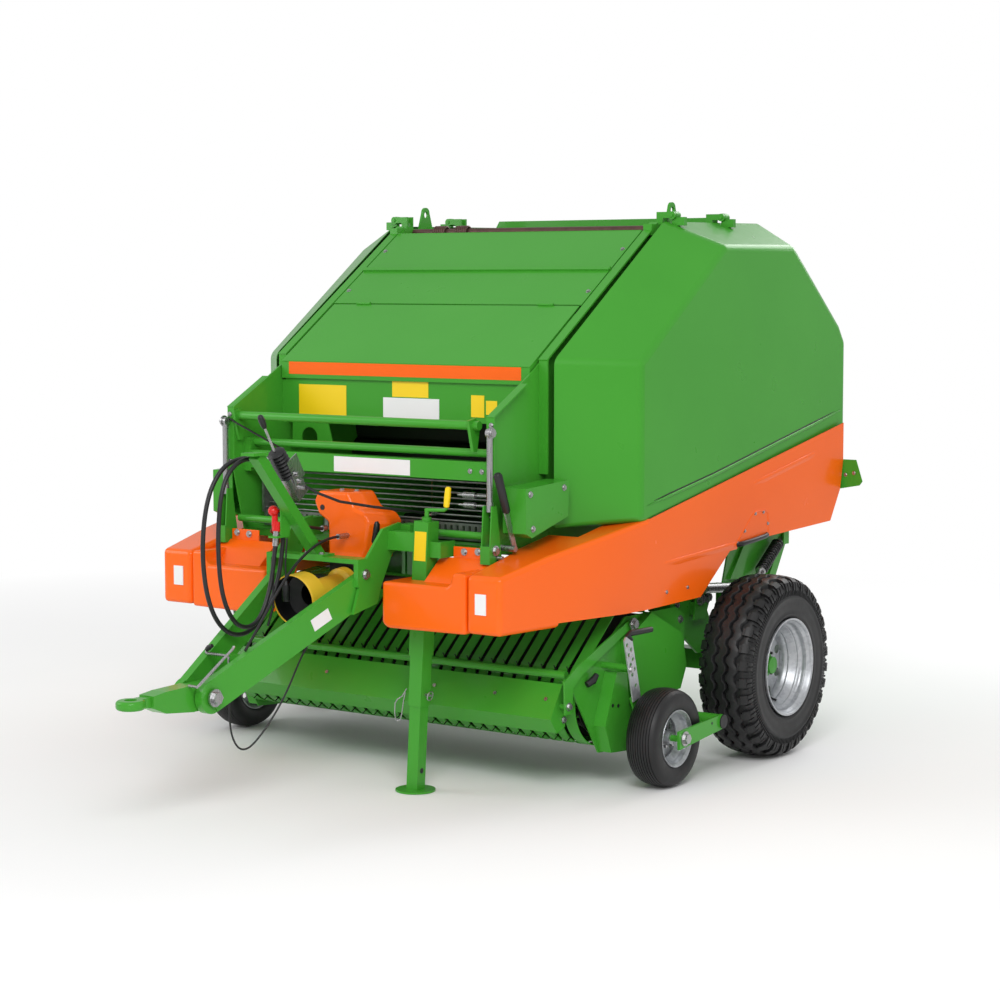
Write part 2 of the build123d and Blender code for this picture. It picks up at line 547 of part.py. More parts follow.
with BuildPart() as jack_crank:
    crank_x, crank_y, crank_z = on_jack(1200)
    rod(on_jack(1166), (crank_x, crank_y, crank_z), 9)
    rod((crank_x, crank_y, 1195), (536, crank_y, 1205), 7)
    rod((536, crank_y, 1201), (547, crank_y, 1298), 11)
save(jack_crank.part, "jack_crank")

# ---- orange front fenders (fixed) ------------------------------------------------------------------
FENDER_FRONT, FENDER_BACK = -860.0, -652.0
FENDER_SPLIT = 750.0
with BuildPart() as fenders:
    for side, name in SIDES:
        outline = [(316, 739), (318, 905), (650, 905), (672, 925), (680, 965), (FENDER_SPLIT - 3, 962),
                   (FENDER_SPLIT - 3, 727), (345, 722)]
        cross_slab([(side * x, z) for x, z in outline], FENDER_FRONT, FENDER_BACK)
        hollow = [(324, 745), (326, 897), (653, 897), (679, 921), (687, 957), (FENDER_SPLIT - 11, 954),
                  (FENDER_SPLIT - 11, 735), (348, 730)]
        cross_slab([(side * x, z) for x, z in hollow], FENDER_FRONT + 8, FENDER_BACK + 10,
                   mode=Mode.SUBTRACT)
        # the ramp behind the top, up to the flange that bolts to the frame
        slab([(-775, 904), (FENDER_BACK, 1000), (FENDER_BACK, 904)], *span(side, 425, 694))
        slab([(-745, 900), (FENDER_BACK, 984), (FENDER_BACK, 900)], *span(side, 433, 686),
             mode=Mode.SUBTRACT)
        block(span(side, 535, 694), (FENDER_BACK, FENDER_BACK + 6), (880, 1046))
        # the slot for the jack, open at the back
        slot_y = JACK_Y + 7
        beam((JACK_X, slot_y, 0), (JACK_TOP[0], slot_y, JACK_TOP[2]), 2 * JACK_OUT + 26, 2 * JACK_OUT + 12,
             mode=Mode.SUBTRACT)
save(fenders.part, "front_fenders")

# ---- side skirts: the long orange mouldings on the side covers ---------------------------------------
SKIRT_TOP = ((FENDER_FRONT, 958), (-545, 1025), (-20, 1112), (1862, 1455))
SKIRT_OUTLINE = SKIRT_TOP + (
    (1862, 1270), (1832, 1130), (1735, 983), (1420, 966), (1096, 961), (893, 956), (760, 925),
    (505, 752), (-90, 750), (-505, 733), (FENDER_FRONT, 729),
)
SKIRT_PLAN = ((920, FENDER_FRONT), (1048, 60), (1062, 1900))
SKIRT_WALL = 8.0
LEDGE_END_Y = 40.0       # the ledge on top of the skirt runs back to here, under the cover's front
FLOOR_END_Y = -640.0     # the front box has a bottom as far as this


def skirt_solid(side, outline, plan):
    """What an outline in the Y-Z plane and one in the X-Y plane have in common."""
    with BuildPart() as body:
        slab(outline, *span(side, 700, 1100))
        plan_slab([(side * x, y) for x, y in plan], 600, 1700, mode=Mode.INTERSECT)
    return body.part


for side, name in SIDES:
    inner_x = FENDER_SPLIT + 3
    outer_plan = SKIRT_PLAN + ((inner_x, 1900), (inner_x, FENDER_FRONT))
    void_plan = ((912, FENDER_FRONT), (1040, 60), (1054, 1900), (700, 1900), (700, FENDER_FRONT))
    void_outline = (
        (FENDER_FRONT + SKIRT_WALL, 729 + SKIRT_WALL), (FENDER_FRONT + SKIRT_WALL, 951), (-545, 1017),
        (-20, 1104), (LEDGE_END_Y, 1114), (LEDGE_END_Y, 1650), (2000, 1650), (2000, 650),
        (FLOOR_END_Y, 650), (FLOOR_END_Y, 729 + SKIRT_WALL),
    )
    with BuildPart() as skirt:
        add(skirt_solid(side, SKIRT_OUTLINE, outer_plan))
        add(skirt_solid(side, void_outline, void_plan), mode=Mode.SUBTRACT)
        # the ledge is cut back beside the drive cover and the cover's front
        block(span(side, 700, 900), (-262, 60), (900, 1200), mode=Mode.SUBTRACT)
    save(skirt.part, f"side_skirt_{name}")

HANDLE_X, HANDLE_R = 1051.0, 11.0
LAMP_PLATE = ((1045, 1130), (1150, 1150), (1165, 1170), (1130, 1275), (1045, 1275))
for side, name in SIDES:
    with BuildPart() as handle:
        rod((side * HANDLE_X, 805, 921), (side * HANDLE_X, 1085, 944), HANDLE_R)
    save(handle.part, f"skirt_handle_{name}")
    with BuildPart() as lamp_plate:
        cross_slab([(side * x, z) for x, z in LAMP_PLATE], 1864, 1869)
        block(span(side, 1045, 1051), (1790, 1869), (1180, 1250))
    save(lamp_plate.part, f"lamp_plate_{name}")

# ---- green side covers ------------------------------------------------------------------------------
COVER_INNER = ((-250, 1095), (-250, 1815), (-225, 1831), (630, 2413), (1515, 2422), (2000, 2030),
               (REAR, 1860), (REAR, 1480))
COVER_FACE = ((20, 1127), (20, 1795), (28, 1806), (732, 2303), (1373, 2307), (1851, 1924),
              (1908, 1850), (1908, 1440))


def lofted(side, low_x, low, high_x, high, mode=Mode.ADD):
    """A straight loft between two outlines in planes across the machine."""
    faces = []
    for x, outline in ((low_x, low), (high_x, high)):
        with BuildSketch(Plane.YZ.offset(side * x)) as face:
            with BuildLine():
                Polyline(*outline, close=True)
            make_face()
        faces.append(face.sketch)
    loft(faces, ruled=True, mode=mode)


for side, name in SIDES:
    with BuildPart() as cover:
        lofted(side, COVER_IN, COVER_INNER, COVER_OUT, COVER_FACE)
        void_low = [(y + (8 if y < 0 else -8 if y > 1900 else 0), z + (8 if z < 1700 else -8))
                    for y, z in COVER_INNER]
        void_high = [(y + (8 if y < 700 else -8), z + (8 if z < 1700 else -8)) for y, z in COVER_FACE]
        lofted(side, COVER_IN - 1, void_low, COVER_OUT - COVER_WALL, void_high, mode=Mode.SUBTRACT)
        for hinge_y in COVER_HINGE_YS:
            rod((side * COVER_HINGE_X, hinge_y - 12, COVER_HINGE_Z),
                (side * COVER_HINGE_X, hinge_y + 12, COVER_HINGE_Z), 15)
            block(span(side, COVER_HINGE_X - 6, COVER_HINGE_X + 60), (hinge_y - 12, hinge_y + 12),
                  (2395, COVER_HINGE_Z - 8))
            rod((side * COVER_HINGE_X, hinge_y - 12, COVER_HINGE_Z),
                (side * COVER_HINGE_X, hinge_y + 12, COVER_HINGE_Z), 9, mode=Mode.SUBTRACT)
    save(cover.part, f"side_cover_{name}")

# ---- pickup -----------------------------------------------------------------------------------------
PLATE_IN, PLATE_OUT = 952.0, 960.0      # the pickup's side plates
PLATE_OUTLINE = (
    (-390, 440), (-188, 145), (-7, 130), (120, 190), (330, 195), (395, 235), (470, 330), (520, 430),
    (520, 660), (440, 700), (222, 702), (20, 704), (-120, 610), (-300, 555),
)
HOUSING_OUTLINE = ((-20, 610), (173, 710), (437, 585), (474, 436), (423, 339), (20, 330))
HOUSING_OUT = 1000.0
GAUGE_ARM_Y, GAUGE_ARM_Z = 300.0, 240.0
GAUGE_ARM_IN, GAUGE_ARM_OUT = 1082.0, 1092.0
GAUGE_PIN_R = 14.0
with BuildPart() as pickup_frame:
    for side, name in SIDES:
        slab(PLATE_OUTLINE, *span(side, PLATE_IN, PLATE_OUT))
        rod((side * 912, PICKUP_Y, PICKUP_Z), (side * PLATE_IN, PICKUP_Y, PICKUP_Z), PIVOT_PIN_R)
        bar_x(GUARD_Y, GUARD_Z, GUARD_HOLE_R, *span(side, PLATE_IN - 2, PLATE_OUT + 2), mode=Mode.SUBTRACT)
        # folded front box of the side plate
        slab([(-230, 270), (-180, 150), (-10, 136), (-60, 480), (-140, 490)],
             *span(side, PLATE_OUT, PLATE_OUT + 60))
        slab([(-222, 270), (-174, 158), (-19, 144), (-67, 472), (-136, 482)],
             *span(side, PLATE_OUT, PLATE_OUT + 54), mode=Mode.SUBTRACT)
        # the spacer that holds the gauge wheel's adjuster
        bar_x(-155, 520, 14, *span(side, PLATE_OUT, 1096))
    bar_x(320, 600, 35, -PLATE_IN, PLATE_IN)
    bar_x(60, 250, 22, -PLATE_IN, PLATE_IN)
save(pickup_frame.part, "pickup_frame")

with BuildPart() as pickup_housings:
    for side, name in SIDES:
        slab(HOUSING_OUTLINE, *span(side, PLATE_OUT, HOUSING_OUT))
        inside = [(-8, 606), (172, 700), (429, 580), (465, 437), (418, 347), (28, 338)]
        slab(inside, *span(side, PLATE_OUT, HOUSING_OUT - 5), mode=Mode.SUBTRACT)
save(pickup_housings.part, "pickup_housings")

# the sheet that closes the pickup behind its reel
with BuildPart() as pickup_back:
    slab(strip([(20, 150), (110, 230), (150, 400), (140, 560), (198, 694)], -4), -PLATE_IN, PLATE_IN)
save(pickup_back.part, "pickup_back")

BAND_TOP, BAND_END = (-18.0, 742.0), (230.0, 770.0)
BANDS, BAND_GAP, BAND_SPAN = 29, 20.0, 944.0


def on_reel(radius, angle):
    """A point round the reel, at an angle from +Y towards +Z."""
    return (REEL_Y + radius * cos(radians(angle)), REEL_Z + radius * sin(radians(angle)))


with BuildPart() as pickup_bands:
    thick = 4.0
    with BuildSketch(Plane.YZ.offset(-BAND_SPAN)) as band_face:
        with BuildLine():
            ThreePointArc(on_reel(BAND_R, 290), on_reel(BAND_R, 210), on_reel(BAND_R, 130))
            Polyline(on_reel(BAND_R, 130), BAND_TOP, BAND_END, (BAND_END[0], BAND_END[1] - thick),
                     (BAND_TOP[0] + 1.6, BAND_TOP[1] - thick), on_reel(BAND_R - thick, 130))
            ThreePointArc(on_reel(BAND_R - thick, 130), on_reel(BAND_R - thick, 210),
                          on_reel(BAND_R - thick, 290))
            Line(on_reel(BAND_R - thick, 290), on_reel(BAND_R, 290))
        make_face()
    extrude(band_face.sketch, amount=2 * BAND_SPAN)
    pitch = 2 * BAND_SPAN / BANDS
    for i in range(1, BANDS):
        x = -BAND_SPAN + i * pitch
        slab([(-600, 100), (-600, 800), (190, 800), (190, 600), (-115, 600), (-115, 100)],
             x - BAND_GAP / 2, x + BAND_GAP / 2, mode=Mode.SUBTRACT)
    block((-BAND_SPAN, BAND_SPAN), (200, 206), (700, 768))
save(pickup_bands.part, "pickup_bands")

TINE_BARS, TINE_BAR_R = 4, 132.0
with BuildPart() as pickup_reel:
    bar_x(REEL_Y, REEL_Z, 28, -948, 948)
    for x in (-930, -466, 0, 466, 930):
        bar_x(REEL_Y, REEL_Z, 152, x - 3, x + 3)
    for i in range(TINE_BARS):
        y, z = on_reel(TINE_BAR_R, 45 + 360 * i / TINE_BARS)
        bar_x(y, z, 14, -935, 935)
save(pickup_reel.part, "pickup_reel")

ARM_IN, ARM_OUT = 966.0, 974.0          # the wind guard's arms
GUARD_HALF = 935.0
with BuildPart() as wind_guard:
    slab(strip([(-466, 272), (-515, 336), (-425, 470)], 4), -GUARD_HALF, GUARD_HALF)
    bar_x(-400, 505, 17, -GUARD_HALF, GUARD_HALF)
    for side, name in SIDES:
        slab([(-466, 272), (-515, 336), (-425, 470), (-396, 515), (-375, 500), (-390, 380), (-410, 290)],
             *span(side, GUARD_HALF - 6, GUARD_HALF))
        slab([(60, 658), (62, 684), (36, 690), (-370, 545), (-470, 490), (-465, 350), (-415, 350),
              (-405, 455), (-340, 500)], *span(side, ARM_IN, ARM_OUT))
        bar_x(-439, 380, 12, *span(side, GUARD_HALF - 6, ARM_OUT + 8))
        bar_x(GUARD_Y, GUARD_Z, GUARD_PIN_R, *span(side, PLATE_OUT - 14, ARM_OUT + 10))
save(wind_guard.part, "wind_guard")

ADJUSTER_HOLES, ADJUSTER_HOLE_R = 7, 9.0
with BuildPart() as gauge_arms:
    for side, name in SIDES:
        bar_x(GAUGE_ARM_Y, GAUGE_ARM_Z, 30, *span(side, PLATE_OUT, 1288))
        slab([(-140, 385), (-95, 400), (60, 250), (300, 270), (300, 210), (0, 170), (-40, 180)],
             *span(side, GAUGE_ARM_IN, GAUGE_ARM_OUT))
        slab([(-58, 172), (300, 206), (322, 240), (300, 272), (-62, 250)], *span(side, 1272, 1284))
        bar_x(GAUGE_Y, GAUGE_R, GAUGE_PIN_R, *span(side, GAUGE_ARM_IN, 1290))
save(gauge_arms.part, "gauge_arms")

# the plates with rows of holes that set the gauge wheels' height
with BuildPart() as gauge_adjusters:
    for side, name in SIDES:
        slab([(-212, 640), (-200, 655), (-162, 657), (-150, 645), (-78, 385), (-138, 370)],
             *span(side, 1096, 1102))
        for i in range(ADJUSTER_HOLES):
            share = i / (ADJUSTER_HOLES - 1)
            row = 12 if i % 2 else -12
            bar_x(-177 + 42 * share + row, 620 - 130 * share, ADJUSTER_HOLE_R,
                  *span(side, 1090, 1110), mode=Mode.SUBTRACT)
        bar_x(-118, 440, ADJUSTER_HOLE_R, *span(side, 1090, 1110), mode=Mode.SUBTRACT)
save(gauge_adjusters.part, "gauge_adjusters")

# ---- wheels ------------------------------------------------------------------------------------------
TYRE_HALF = WHEEL_WIDTH / 2
TYRE_SIDE = ((207, 98), (228, 120), (262, 129), (311, TYRE_HALF), (358, 130), (387, 121), (401, 106),
             (408, 80), (WHEEL_R, 40))
RIM_OUTER = ((RIM_R, 130), (RIM_R, 122), (206, 110), (206, 76), (190, 60), (174, 30))
RIM_INNER = ((168, 33), (184, 64), (200, 80), (200, 106), (212, 124), (212, 130))
DISC = (-16.0, -8.0)
HUB_BORE = AXLE_STUB_R + 0.05


def both_ends(half):
    """A profile from one end, then the same back from the other end."""
    return list(half) + [(r, -x) for r, x in reversed(half)]


def wheel_profile(outer, inner, disc, disc_hole):
    """A rim's closed profile: tyre side, then hub side with its disc."""
    low, high = disc
    near = [(r, -x) for r, x in reversed(inner)]
    return (both_ends(outer) + near + [(inner[0][0], low), (disc_hole, low), (disc_hole, high),
            (inner[0][0], high)] + list(inner))


# count, circle radius, hole radius
RIM_HOLES = (8, 138.0, 21.0)
GAUGE_HOLES = (5, 66.0, 13.0)


def disc_holes(side, centre, middle, holes):
    """A ring of holes through a wheel's disc."""
    count, ring, hole = holes
    for i in range(count):
        angle = 2 * pi * (i + 0.5) / count
        bar_x(centre[0] + ring * cos(angle), centre[1] + ring * sin(angle), hole,
              *span(side, middle - 30, middle + 20), mode=Mode.SUBTRACT)


WHEEL_MID = WHEEL_OUT - TYRE_HALF
HUB_PROFILE = ((HUB_BORE, -70), (50, -70), (58, -60), (58, -30), (82, -30), (82, -16), (72, -16), (72, -8),
               (56, -8), (52, 14), (40, 20), (38, 44), (0, 48), (0, 20), (HUB_BORE, 20))
WHEEL_PIECES = (
    ("tyre", both_ends(TYRE_SIDE)),
    ("rim", wheel_profile(RIM_OUTER, RIM_INNER, DISC, 72.0)),
    ("hub", HUB_PROFILE),
)
for side, name in SIDES:
    for label, profile in WHEEL_PIECES:
        with BuildPart() as piece:
            turned(AXLE_Y, WHEEL_R, [(r, WHEEL_MID + x) for r, x in profile], side)
            if label == "rim":
                disc_holes(side, (AXLE_Y, WHEEL_R), WHEEL_MID, RIM_HOLES)
        save(piece.part, f"{label}_{name}")

GAUGE_MID = (GAUGE_IN + GAUGE_OUT) / 2
GAUGE_BORE = GAUGE_PIN_R + 0.05
GAUGE_SIDE = ((112, 52), (123, 60), (128, 69), (152, 75), (181, 74), (197, 66), (206, 50), (GAUGE_R, 27))
for side, name in SIDES:
    with BuildPart() as gauge_tyre:
        turned(GAUGE_Y, GAUGE_R, [(r, GAUGE_MID + x) for r, x in both_ends(GAUGE_SIDE)], side)
    save(gauge_tyre.part, f"gauge_tyre_{name}")
    with BuildPart() as gauge_rim:
        profile = wheel_profile(((GAUGE_RIM_R, 68), (GAUGE_RIM_R, 64), (111, 56), (111, 32), (98, 18)),
                                ((94, 21), (107, 35), (107, 58), (118, 68)), (-5, 0), GAUGE_BORE)
        turned(GAUGE_Y, GAUGE_R, [(r, GAUGE_MID + x) for r, x in profile], side)
        turned(GAUGE_Y, GAUGE_R, [(r, GAUGE_MID + x) for r, x in
                                  ((GAUGE_BORE, -40), (30, -40), (32, -5), (32, 5), (26, 40),
                                   (GAUGE_BORE, 40))], side)
        disc_holes(side, (GAUGE_Y, GAUGE_R), GAUGE_MID, GAUGE_HOLES)
    save(gauge_rim.part, f"gauge_rim_{name}")

# ---- hoses and cables ----------------------------------------------------------------------------------
def bend_radii(route):
    """The radius of the arc at each inner point of a route."""
    points = [Vector(*p) for p in route]
    radii = []
    for before, here, after in zip(points, points[1:], points[2:]):
        half_turn = radians((here - before).get_angle(after - here)) / 2
        radii.append(0.45 * min((here - before).length, (after - here).length) / tan(half_turn))
    return radii


for label, radius, route in CORDS:
    radii = bend_radii(route)
    with BuildPart() as tube:
        with BuildLine():
            run = FilletPolyline(*route, radius=radii)
        with BuildSketch(Plane(origin=run @ 0, z_dir=run % 0)):
            Circle(radius)
        sweep(path=run)
    save(tube.part, label)
    drift = tube.part.volume / (pi * radius ** 2 * run.length) - 1
    print(label, "length", round(run.length), "radii", [round(r) for r in radii], "drift", round(drift, 4))


# the couplers parked on the stand, and the cap that closes each
with BuildPart() as hose_couplers:
    for route in (HOSE_OUTER, HOSE_INNER):
        rod(route[-1], along(route[-1], route[-2], -COUPLER_LENGTH), COUPLER_R)
save(hose_couplers.part, "hose_couplers")
with BuildPart() as coupler_caps:
    for route in (HOSE_OUTER, HOSE_INNER):
        rod(along(route[-1], route[-2], -COUPLER_LENGTH), along(route[-1], route[-2], -COUPLER_LENGTH - 40), 17)
save(coupler_caps.part, "coupler_caps")

with BuildPart() as cable_glands:
    rod(CABLE_SPIRAL[0], along(CABLE_SPIRAL[0], CABLE_SPIRAL[1], -57), 10)
    rod(CABLE_LOOP[-1], (0, -1452, 560), 9)
    block((-12, 12), (-1462, -1440), (560, 600))
save(cable_glands.part, "cable_glands")
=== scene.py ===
# %% [markdown]
# # A round baler
# This lesson dresses the imported model of a towed round baler. The frame comes in first: every
# part at its real place, in metres, +Z up, the hitch along -Y and the machine's left side along +X.

# %% Load the frame
import json
import math
import bmesh
import bpy
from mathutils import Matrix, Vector


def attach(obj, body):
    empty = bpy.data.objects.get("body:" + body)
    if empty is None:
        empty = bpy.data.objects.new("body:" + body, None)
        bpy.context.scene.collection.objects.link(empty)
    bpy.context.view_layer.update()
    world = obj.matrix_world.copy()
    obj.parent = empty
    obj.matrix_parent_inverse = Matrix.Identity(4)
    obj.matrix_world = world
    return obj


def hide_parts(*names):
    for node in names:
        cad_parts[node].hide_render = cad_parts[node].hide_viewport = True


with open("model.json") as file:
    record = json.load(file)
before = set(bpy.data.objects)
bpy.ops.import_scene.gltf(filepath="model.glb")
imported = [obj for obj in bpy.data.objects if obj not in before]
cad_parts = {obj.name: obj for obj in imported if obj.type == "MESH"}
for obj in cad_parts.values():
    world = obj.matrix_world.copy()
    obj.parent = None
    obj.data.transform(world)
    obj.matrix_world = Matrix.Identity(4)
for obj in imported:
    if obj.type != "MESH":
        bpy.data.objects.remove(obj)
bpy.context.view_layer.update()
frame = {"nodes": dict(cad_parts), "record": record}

NODES = frame["nodes"]
SIDES = ((1, "left"), (-1, "right"))

# %% [markdown]
# ## Camera
# The machine is seen from its front left corner, at about the height of a standing person's eyes,
# with a long lens, so that its far edges hardly converge.

# %% Camera
camera_data = bpy.data.cameras.new("camera")
camera_data.lens = 83.43
camera_data.sensor_width = 36.0
camera = bpy.data.objects.new("camera", camera_data)
bpy.context.scene.collection.objects.link(camera)
camera.location = (6.2297, -8.3811, 2.1438)
camera.rotation_euler = (math.radians(90 - 5.26), 0.0, math.radians(35.22))
bpy.context.scene.camera = camera
print("camera at", tuple(round(v, 2) for v in camera.location))

# %% [markdown]
# ## Light, floor and backdrop
# A studio: one big soft lamp above and in front, a weaker one on the far side, and an even sky.
# The backdrop that the lens and transmitted rays see is plain white, while the sky that lights the
# machine, and that its paint and metal reflect, stays at a level at which a colour comes out as it is mixed.

# %% World and lamps
scene = bpy.context.scene
scene.view_settings.view_transform = "Standard"


def soft_lamp(name, place, aim, size, power):
    """A square area lamp that points from place to aim."""
    data = bpy.data.lights.new(name, "AREA")
    data.size = size
    data.energy = power
    lamp = bpy.data.objects.new(name, data)
    lamp.location = place
    lamp.rotation_euler = (Vector(aim) - Vector(place)).to_track_quat("-Z", "Y").to_euler()
    scene.collection.objects.link(lamp)


soft_lamp("key", (5.0, -6.5, 6.5), (0, 0, 1.0), 4.0, 430)
soft_lamp("fill", (-6.0, -4.5, 4.0), (0, 0, 1.0), 4.0, 150)
soft_lamp("rear", (1.0, 7.0, 5.0), (0, 0.5, 1.2), 4.0, 200)
print("lamps: key, fill, rear")

# %% [markdown]
# ## Node graphs
# A finish is mostly arithmetic on patterns: noise times a small number plus a base value. Written
# as nodes that takes a page. So a Graph adds a node in one call and gives back a Wire, which wraps
# a socket and lets Python's own operators add the Math nodes. Colours never go through these
# sums, because a Math node turns a colour grey.

# %% The Wire, Graph and Finish classes
class Wire:
    """A socket that takes part in sums."""

    def __init__(self, graph, socket):
        self.graph = graph
        self.socket = socket

    def _sum(self, operation, *values):
        return self.graph.node("ShaderNodeMath", {"operation": operation}, dict(enumerate(values)))

    def __add__(self, other):
        return self._sum("ADD", self, other)

    def __sub__(self, other):
        return self._sum("SUBTRACT", self, other)

    def __mul__(self, other):
        return self._sum("MULTIPLY", self, other)

    def __rtruediv__(self, other):
        return self._sum("DIVIDE", other, self)

    def clamp(self):
        return self._sum("MAXIMUM", self._sum("MINIMUM", self, 1.0), 0.0)


class Graph:
    """A node tree that is filled node by node."""

    def __init__(self, tree):
        self.tree = tree
        self.tree.nodes.clear()

    def join(self, value, socket):
        """Feeds a socket with a Wire, or sets it to a number or a colour."""
        if isinstance(value, Wire):
            self.tree.links.new(value.socket, socket)
        else:
            socket.default_value = value

    def node(self, kind, settings=None, values=None, out=0):
        """Adds a node: its settings are set first, then its sockets are fed."""
        node = self.tree.nodes.new(kind)
        for key, value in (settings or {}).items():
            setattr(node, key, value)
        for key, value in (values or {}).items():
            self.join(value, node.inputs[key])
        return Wire(self, node.outputs[out])


class Finish(Graph):
    """A material that is being mixed: one Principled shader and whatever feeds it."""

    def __init__(self, name, **fixed):
        self.material = bpy.data.materials.new(name)
        self.material.use_nodes = True
        super().__init__(self.material.node_tree)
        self.output = self.tree.nodes.new("ShaderNodeOutputMaterial")
        self.shader = self.tree.nodes.new("ShaderNodeBsdfPrincipled")
        self.tree.links.new(self.shader.outputs[0], self.output.inputs[0])
        for socket, value in fixed.items():
            self.shader.inputs[socket.replace("_", " ")].default_value = value

    def place(self):
        """The point on the object, in metres in the machine's own frame."""
        return self.node("ShaderNodeTexCoord", out="Object")

    def axis(self, letter):
        """One coordinate of that point."""
        return self.node("ShaderNodeSeparateXYZ", values={0: self.place()}, out=letter)

    def noise(self, scale, detail=2.0, rough=0.5, where=None):
        """Cloudy noise of about one cloud per 1 / scale metres."""
        return self.node("ShaderNodeTexNoise", values={
            "Vector": where or self.place(), "Scale": scale, "Detail": detail, "Roughness": rough})

    def stretched(self, scales):
        """The point with each axis scaled, for streaks."""
        return self.node("ShaderNodeVectorMath", {"operation": "MULTIPLY"},
                         {0: self.place(), 1: scales})

    def blend(self, share, low, high):
        """A colour between two, by a Wire from 0 to 1."""
        return self.node("ShaderNodeMix", {"data_type": "RGBA"}, {0: share, 6: low, 7: high}, out=2)

    def feed(self, **wires):
        """Wires for the Principled shader's own sockets."""
        for socket, wire in wires.items():
            self.join(wire, self.shader.inputs[socket.replace("_", " ")])
        return self

    def bump(self, height, strength, depth):
        """Small relief that catches the light."""
        self.feed(Normal=self.node("ShaderNodeBump", values={
            "Height": height, "Strength": strength, "Distance": depth}))
        return self


print("shader helpers ready")

# %% [markdown]
# ## Finishes
# Powder paint has a slow drift of tone and a faint orange peel; moulded plastic is smoother
# and shinier. Zinc shows its crystals, bright steel the lines of its grinding, and rubber a
# grey bloom of dust. Each is one function of a few numbers, so that paints share their recipe.

# %% Finishes
def rgba(red, green, blue):
    """A colour as it is seen on a screen, turned into the linear one that the shaders take."""
    def linear(c):
        return c / 12.92 if c <= 0.04045 else ((c + 0.055) / 1.055) ** 2.4
    return (linear(red), linear(green), linear(blue), 1.0)


def paint(name, light, deep, rough=0.3, peel=0.0004, coat=0.16):
    """Sprayed paint: a slow drift between two tones, and orange peel."""
    finish = Finish(name, Coat_Weight=coat, Coat_Roughness=0.08, IOR=1.3)
    drift = finish.noise(1.7, detail=3.0)
    finish.feed(Base_Color=finish.blend(drift, rgba(*deep), rgba(*light)),
                Roughness=finish.noise(9.0) * 0.12 + (rough - 0.06))
    return finish.bump(finish.noise(210.0, detail=1.0), 0.08, peel).material


def metal(name, light, deep, rough, grain=(40.0, 40.0, 40.0), metallic=0.9):
    """Bare or plated metal, with grinding lines where the grain's scales differ."""
    finish = Finish(name, Metallic=metallic, IOR=1.5)
    lines = finish.noise(1.0, detail=3.0, where=finish.stretched(grain))
    finish.feed(Base_Color=finish.blend(lines, rgba(*deep), rgba(*light)),
                Roughness=lines * 0.16 + (rough - 0.08))
    return finish.bump(lines, 0.12, 0.0005).material


def zinc(name, light, deep):
    """Hot-dip zinc: flat crystals a couple of centimetres wide."""
    finish = Finish(name, Metallic=0.75, IOR=1.5)
    crystals = finish.node("ShaderNodeTexVoronoi", values={"Vector": finish.place(), "Scale": 70.0},
                           out="Color")
    shade = finish.node("ShaderNodeSeparateColor", values={0: crystals})
    tone = shade * 0.5 + finish.noise(6.0, detail=3.0) * 0.5
    finish.feed(Base_Color=finish.blend(tone, rgba(*deep), rgba(*light)), Roughness=tone * 0.2 + 0.3)
    return finish.material


def rubber(name, deep, dusty, rough=0.62, dust=0.5):
    """Rubber with a dusty bloom."""
    finish = Finish(name, IOR=1.45)
    bloom = (finish.noise(5.0, detail=5.0, rough=0.6) - 0.5) * 2.2 + dust
    finish.feed(Base_Color=finish.blend(bloom.clamp(), rgba(*deep), rgba(*dusty)),
                Roughness=finish.noise(30.0) * 0.15 + (rough - 0.07))
    return finish.bump(finish.noise(380.0, detail=2.0), 0.2, 0.0006).material


def plastic(name, light, deep, rough=0.35):
    """Moulded plastic: even, with a fine grain."""
    finish = Finish(name, IOR=1.48)
    finish.feed(Base_Color=finish.blend(finish.noise(4.0), rgba(*deep), rgba(*light)),
                Roughness=finish.noise(25.0) * 0.1 + (rough - 0.05))
    return finish.bump(finish.noise(500.0, detail=1.0), 0.1, 0.0004).material


LOOKS = {
    "green_paint": paint("green_paint", (0.27, 0.62, 0.19), (0.235, 0.58, 0.16)),
    "orange_plastic": paint("orange_plastic", (0.985, 0.415, 0.065), (0.965, 0.385, 0.05), rough=0.24,
                            peel=0.0002, coat=0.2),
    "galvanised_steel": zinc("galvanised_steel", (0.8, 0.81, 0.82), (0.64, 0.65, 0.67)),
    "bare_steel": metal("bare_steel", (0.78, 0.78, 0.78), (0.55, 0.55, 0.56), 0.28,
                        grain=(300.0, 300.0, 12.0)),
    "tyre": rubber("tyre", (0.06, 0.06, 0.065), (0.15, 0.15, 0.155), rough=0.48),
    "black_plastic": plastic("black_plastic", (0.09, 0.09, 0.095), (0.06, 0.06, 0.065), 0.4),
    "yellow_plastic": plastic("yellow_plastic", (0.93, 0.76, 0.22), (0.88, 0.7, 0.17)),
    "red_plastic": plastic("red_plastic", (0.88, 0.1, 0.09), (0.8, 0.07, 0.06), 0.25),
    "black_rubber": plastic("black_rubber", (0.125, 0.125, 0.135), (0.085, 0.085, 0.09), 0.45),
    "dark_paint": metal("dark_paint", (0.17, 0.16, 0.15), (0.07, 0.065, 0.06), 0.45, metallic=0.3),
    # a darker copy of the green paint: painted shade for the chamber's front sheet
    "dark_green": paint("dark_green", (0.1, 0.17, 0.08), (0.05, 0.09, 0.04), rough=0.5, coat=0.0),
    "wire_steel": metal("wire_steel", (0.62, 0.64, 0.62), (0.34, 0.36, 0.34), 0.35, metallic=0.8),
    "shaft_brown": metal("shaft_brown", (0.42, 0.29, 0.26), (0.24, 0.16, 0.14), 0.45, metallic=0.4),
    "yellow_plate": plastic("yellow_plate", (0.985, 0.84, 0.05), (0.95, 0.8, 0.03), 0.4),
    "white_plate": plastic("white_plate", (0.93, 0.93, 0.93), (0.89, 0.89, 0.89), 0.45),
}
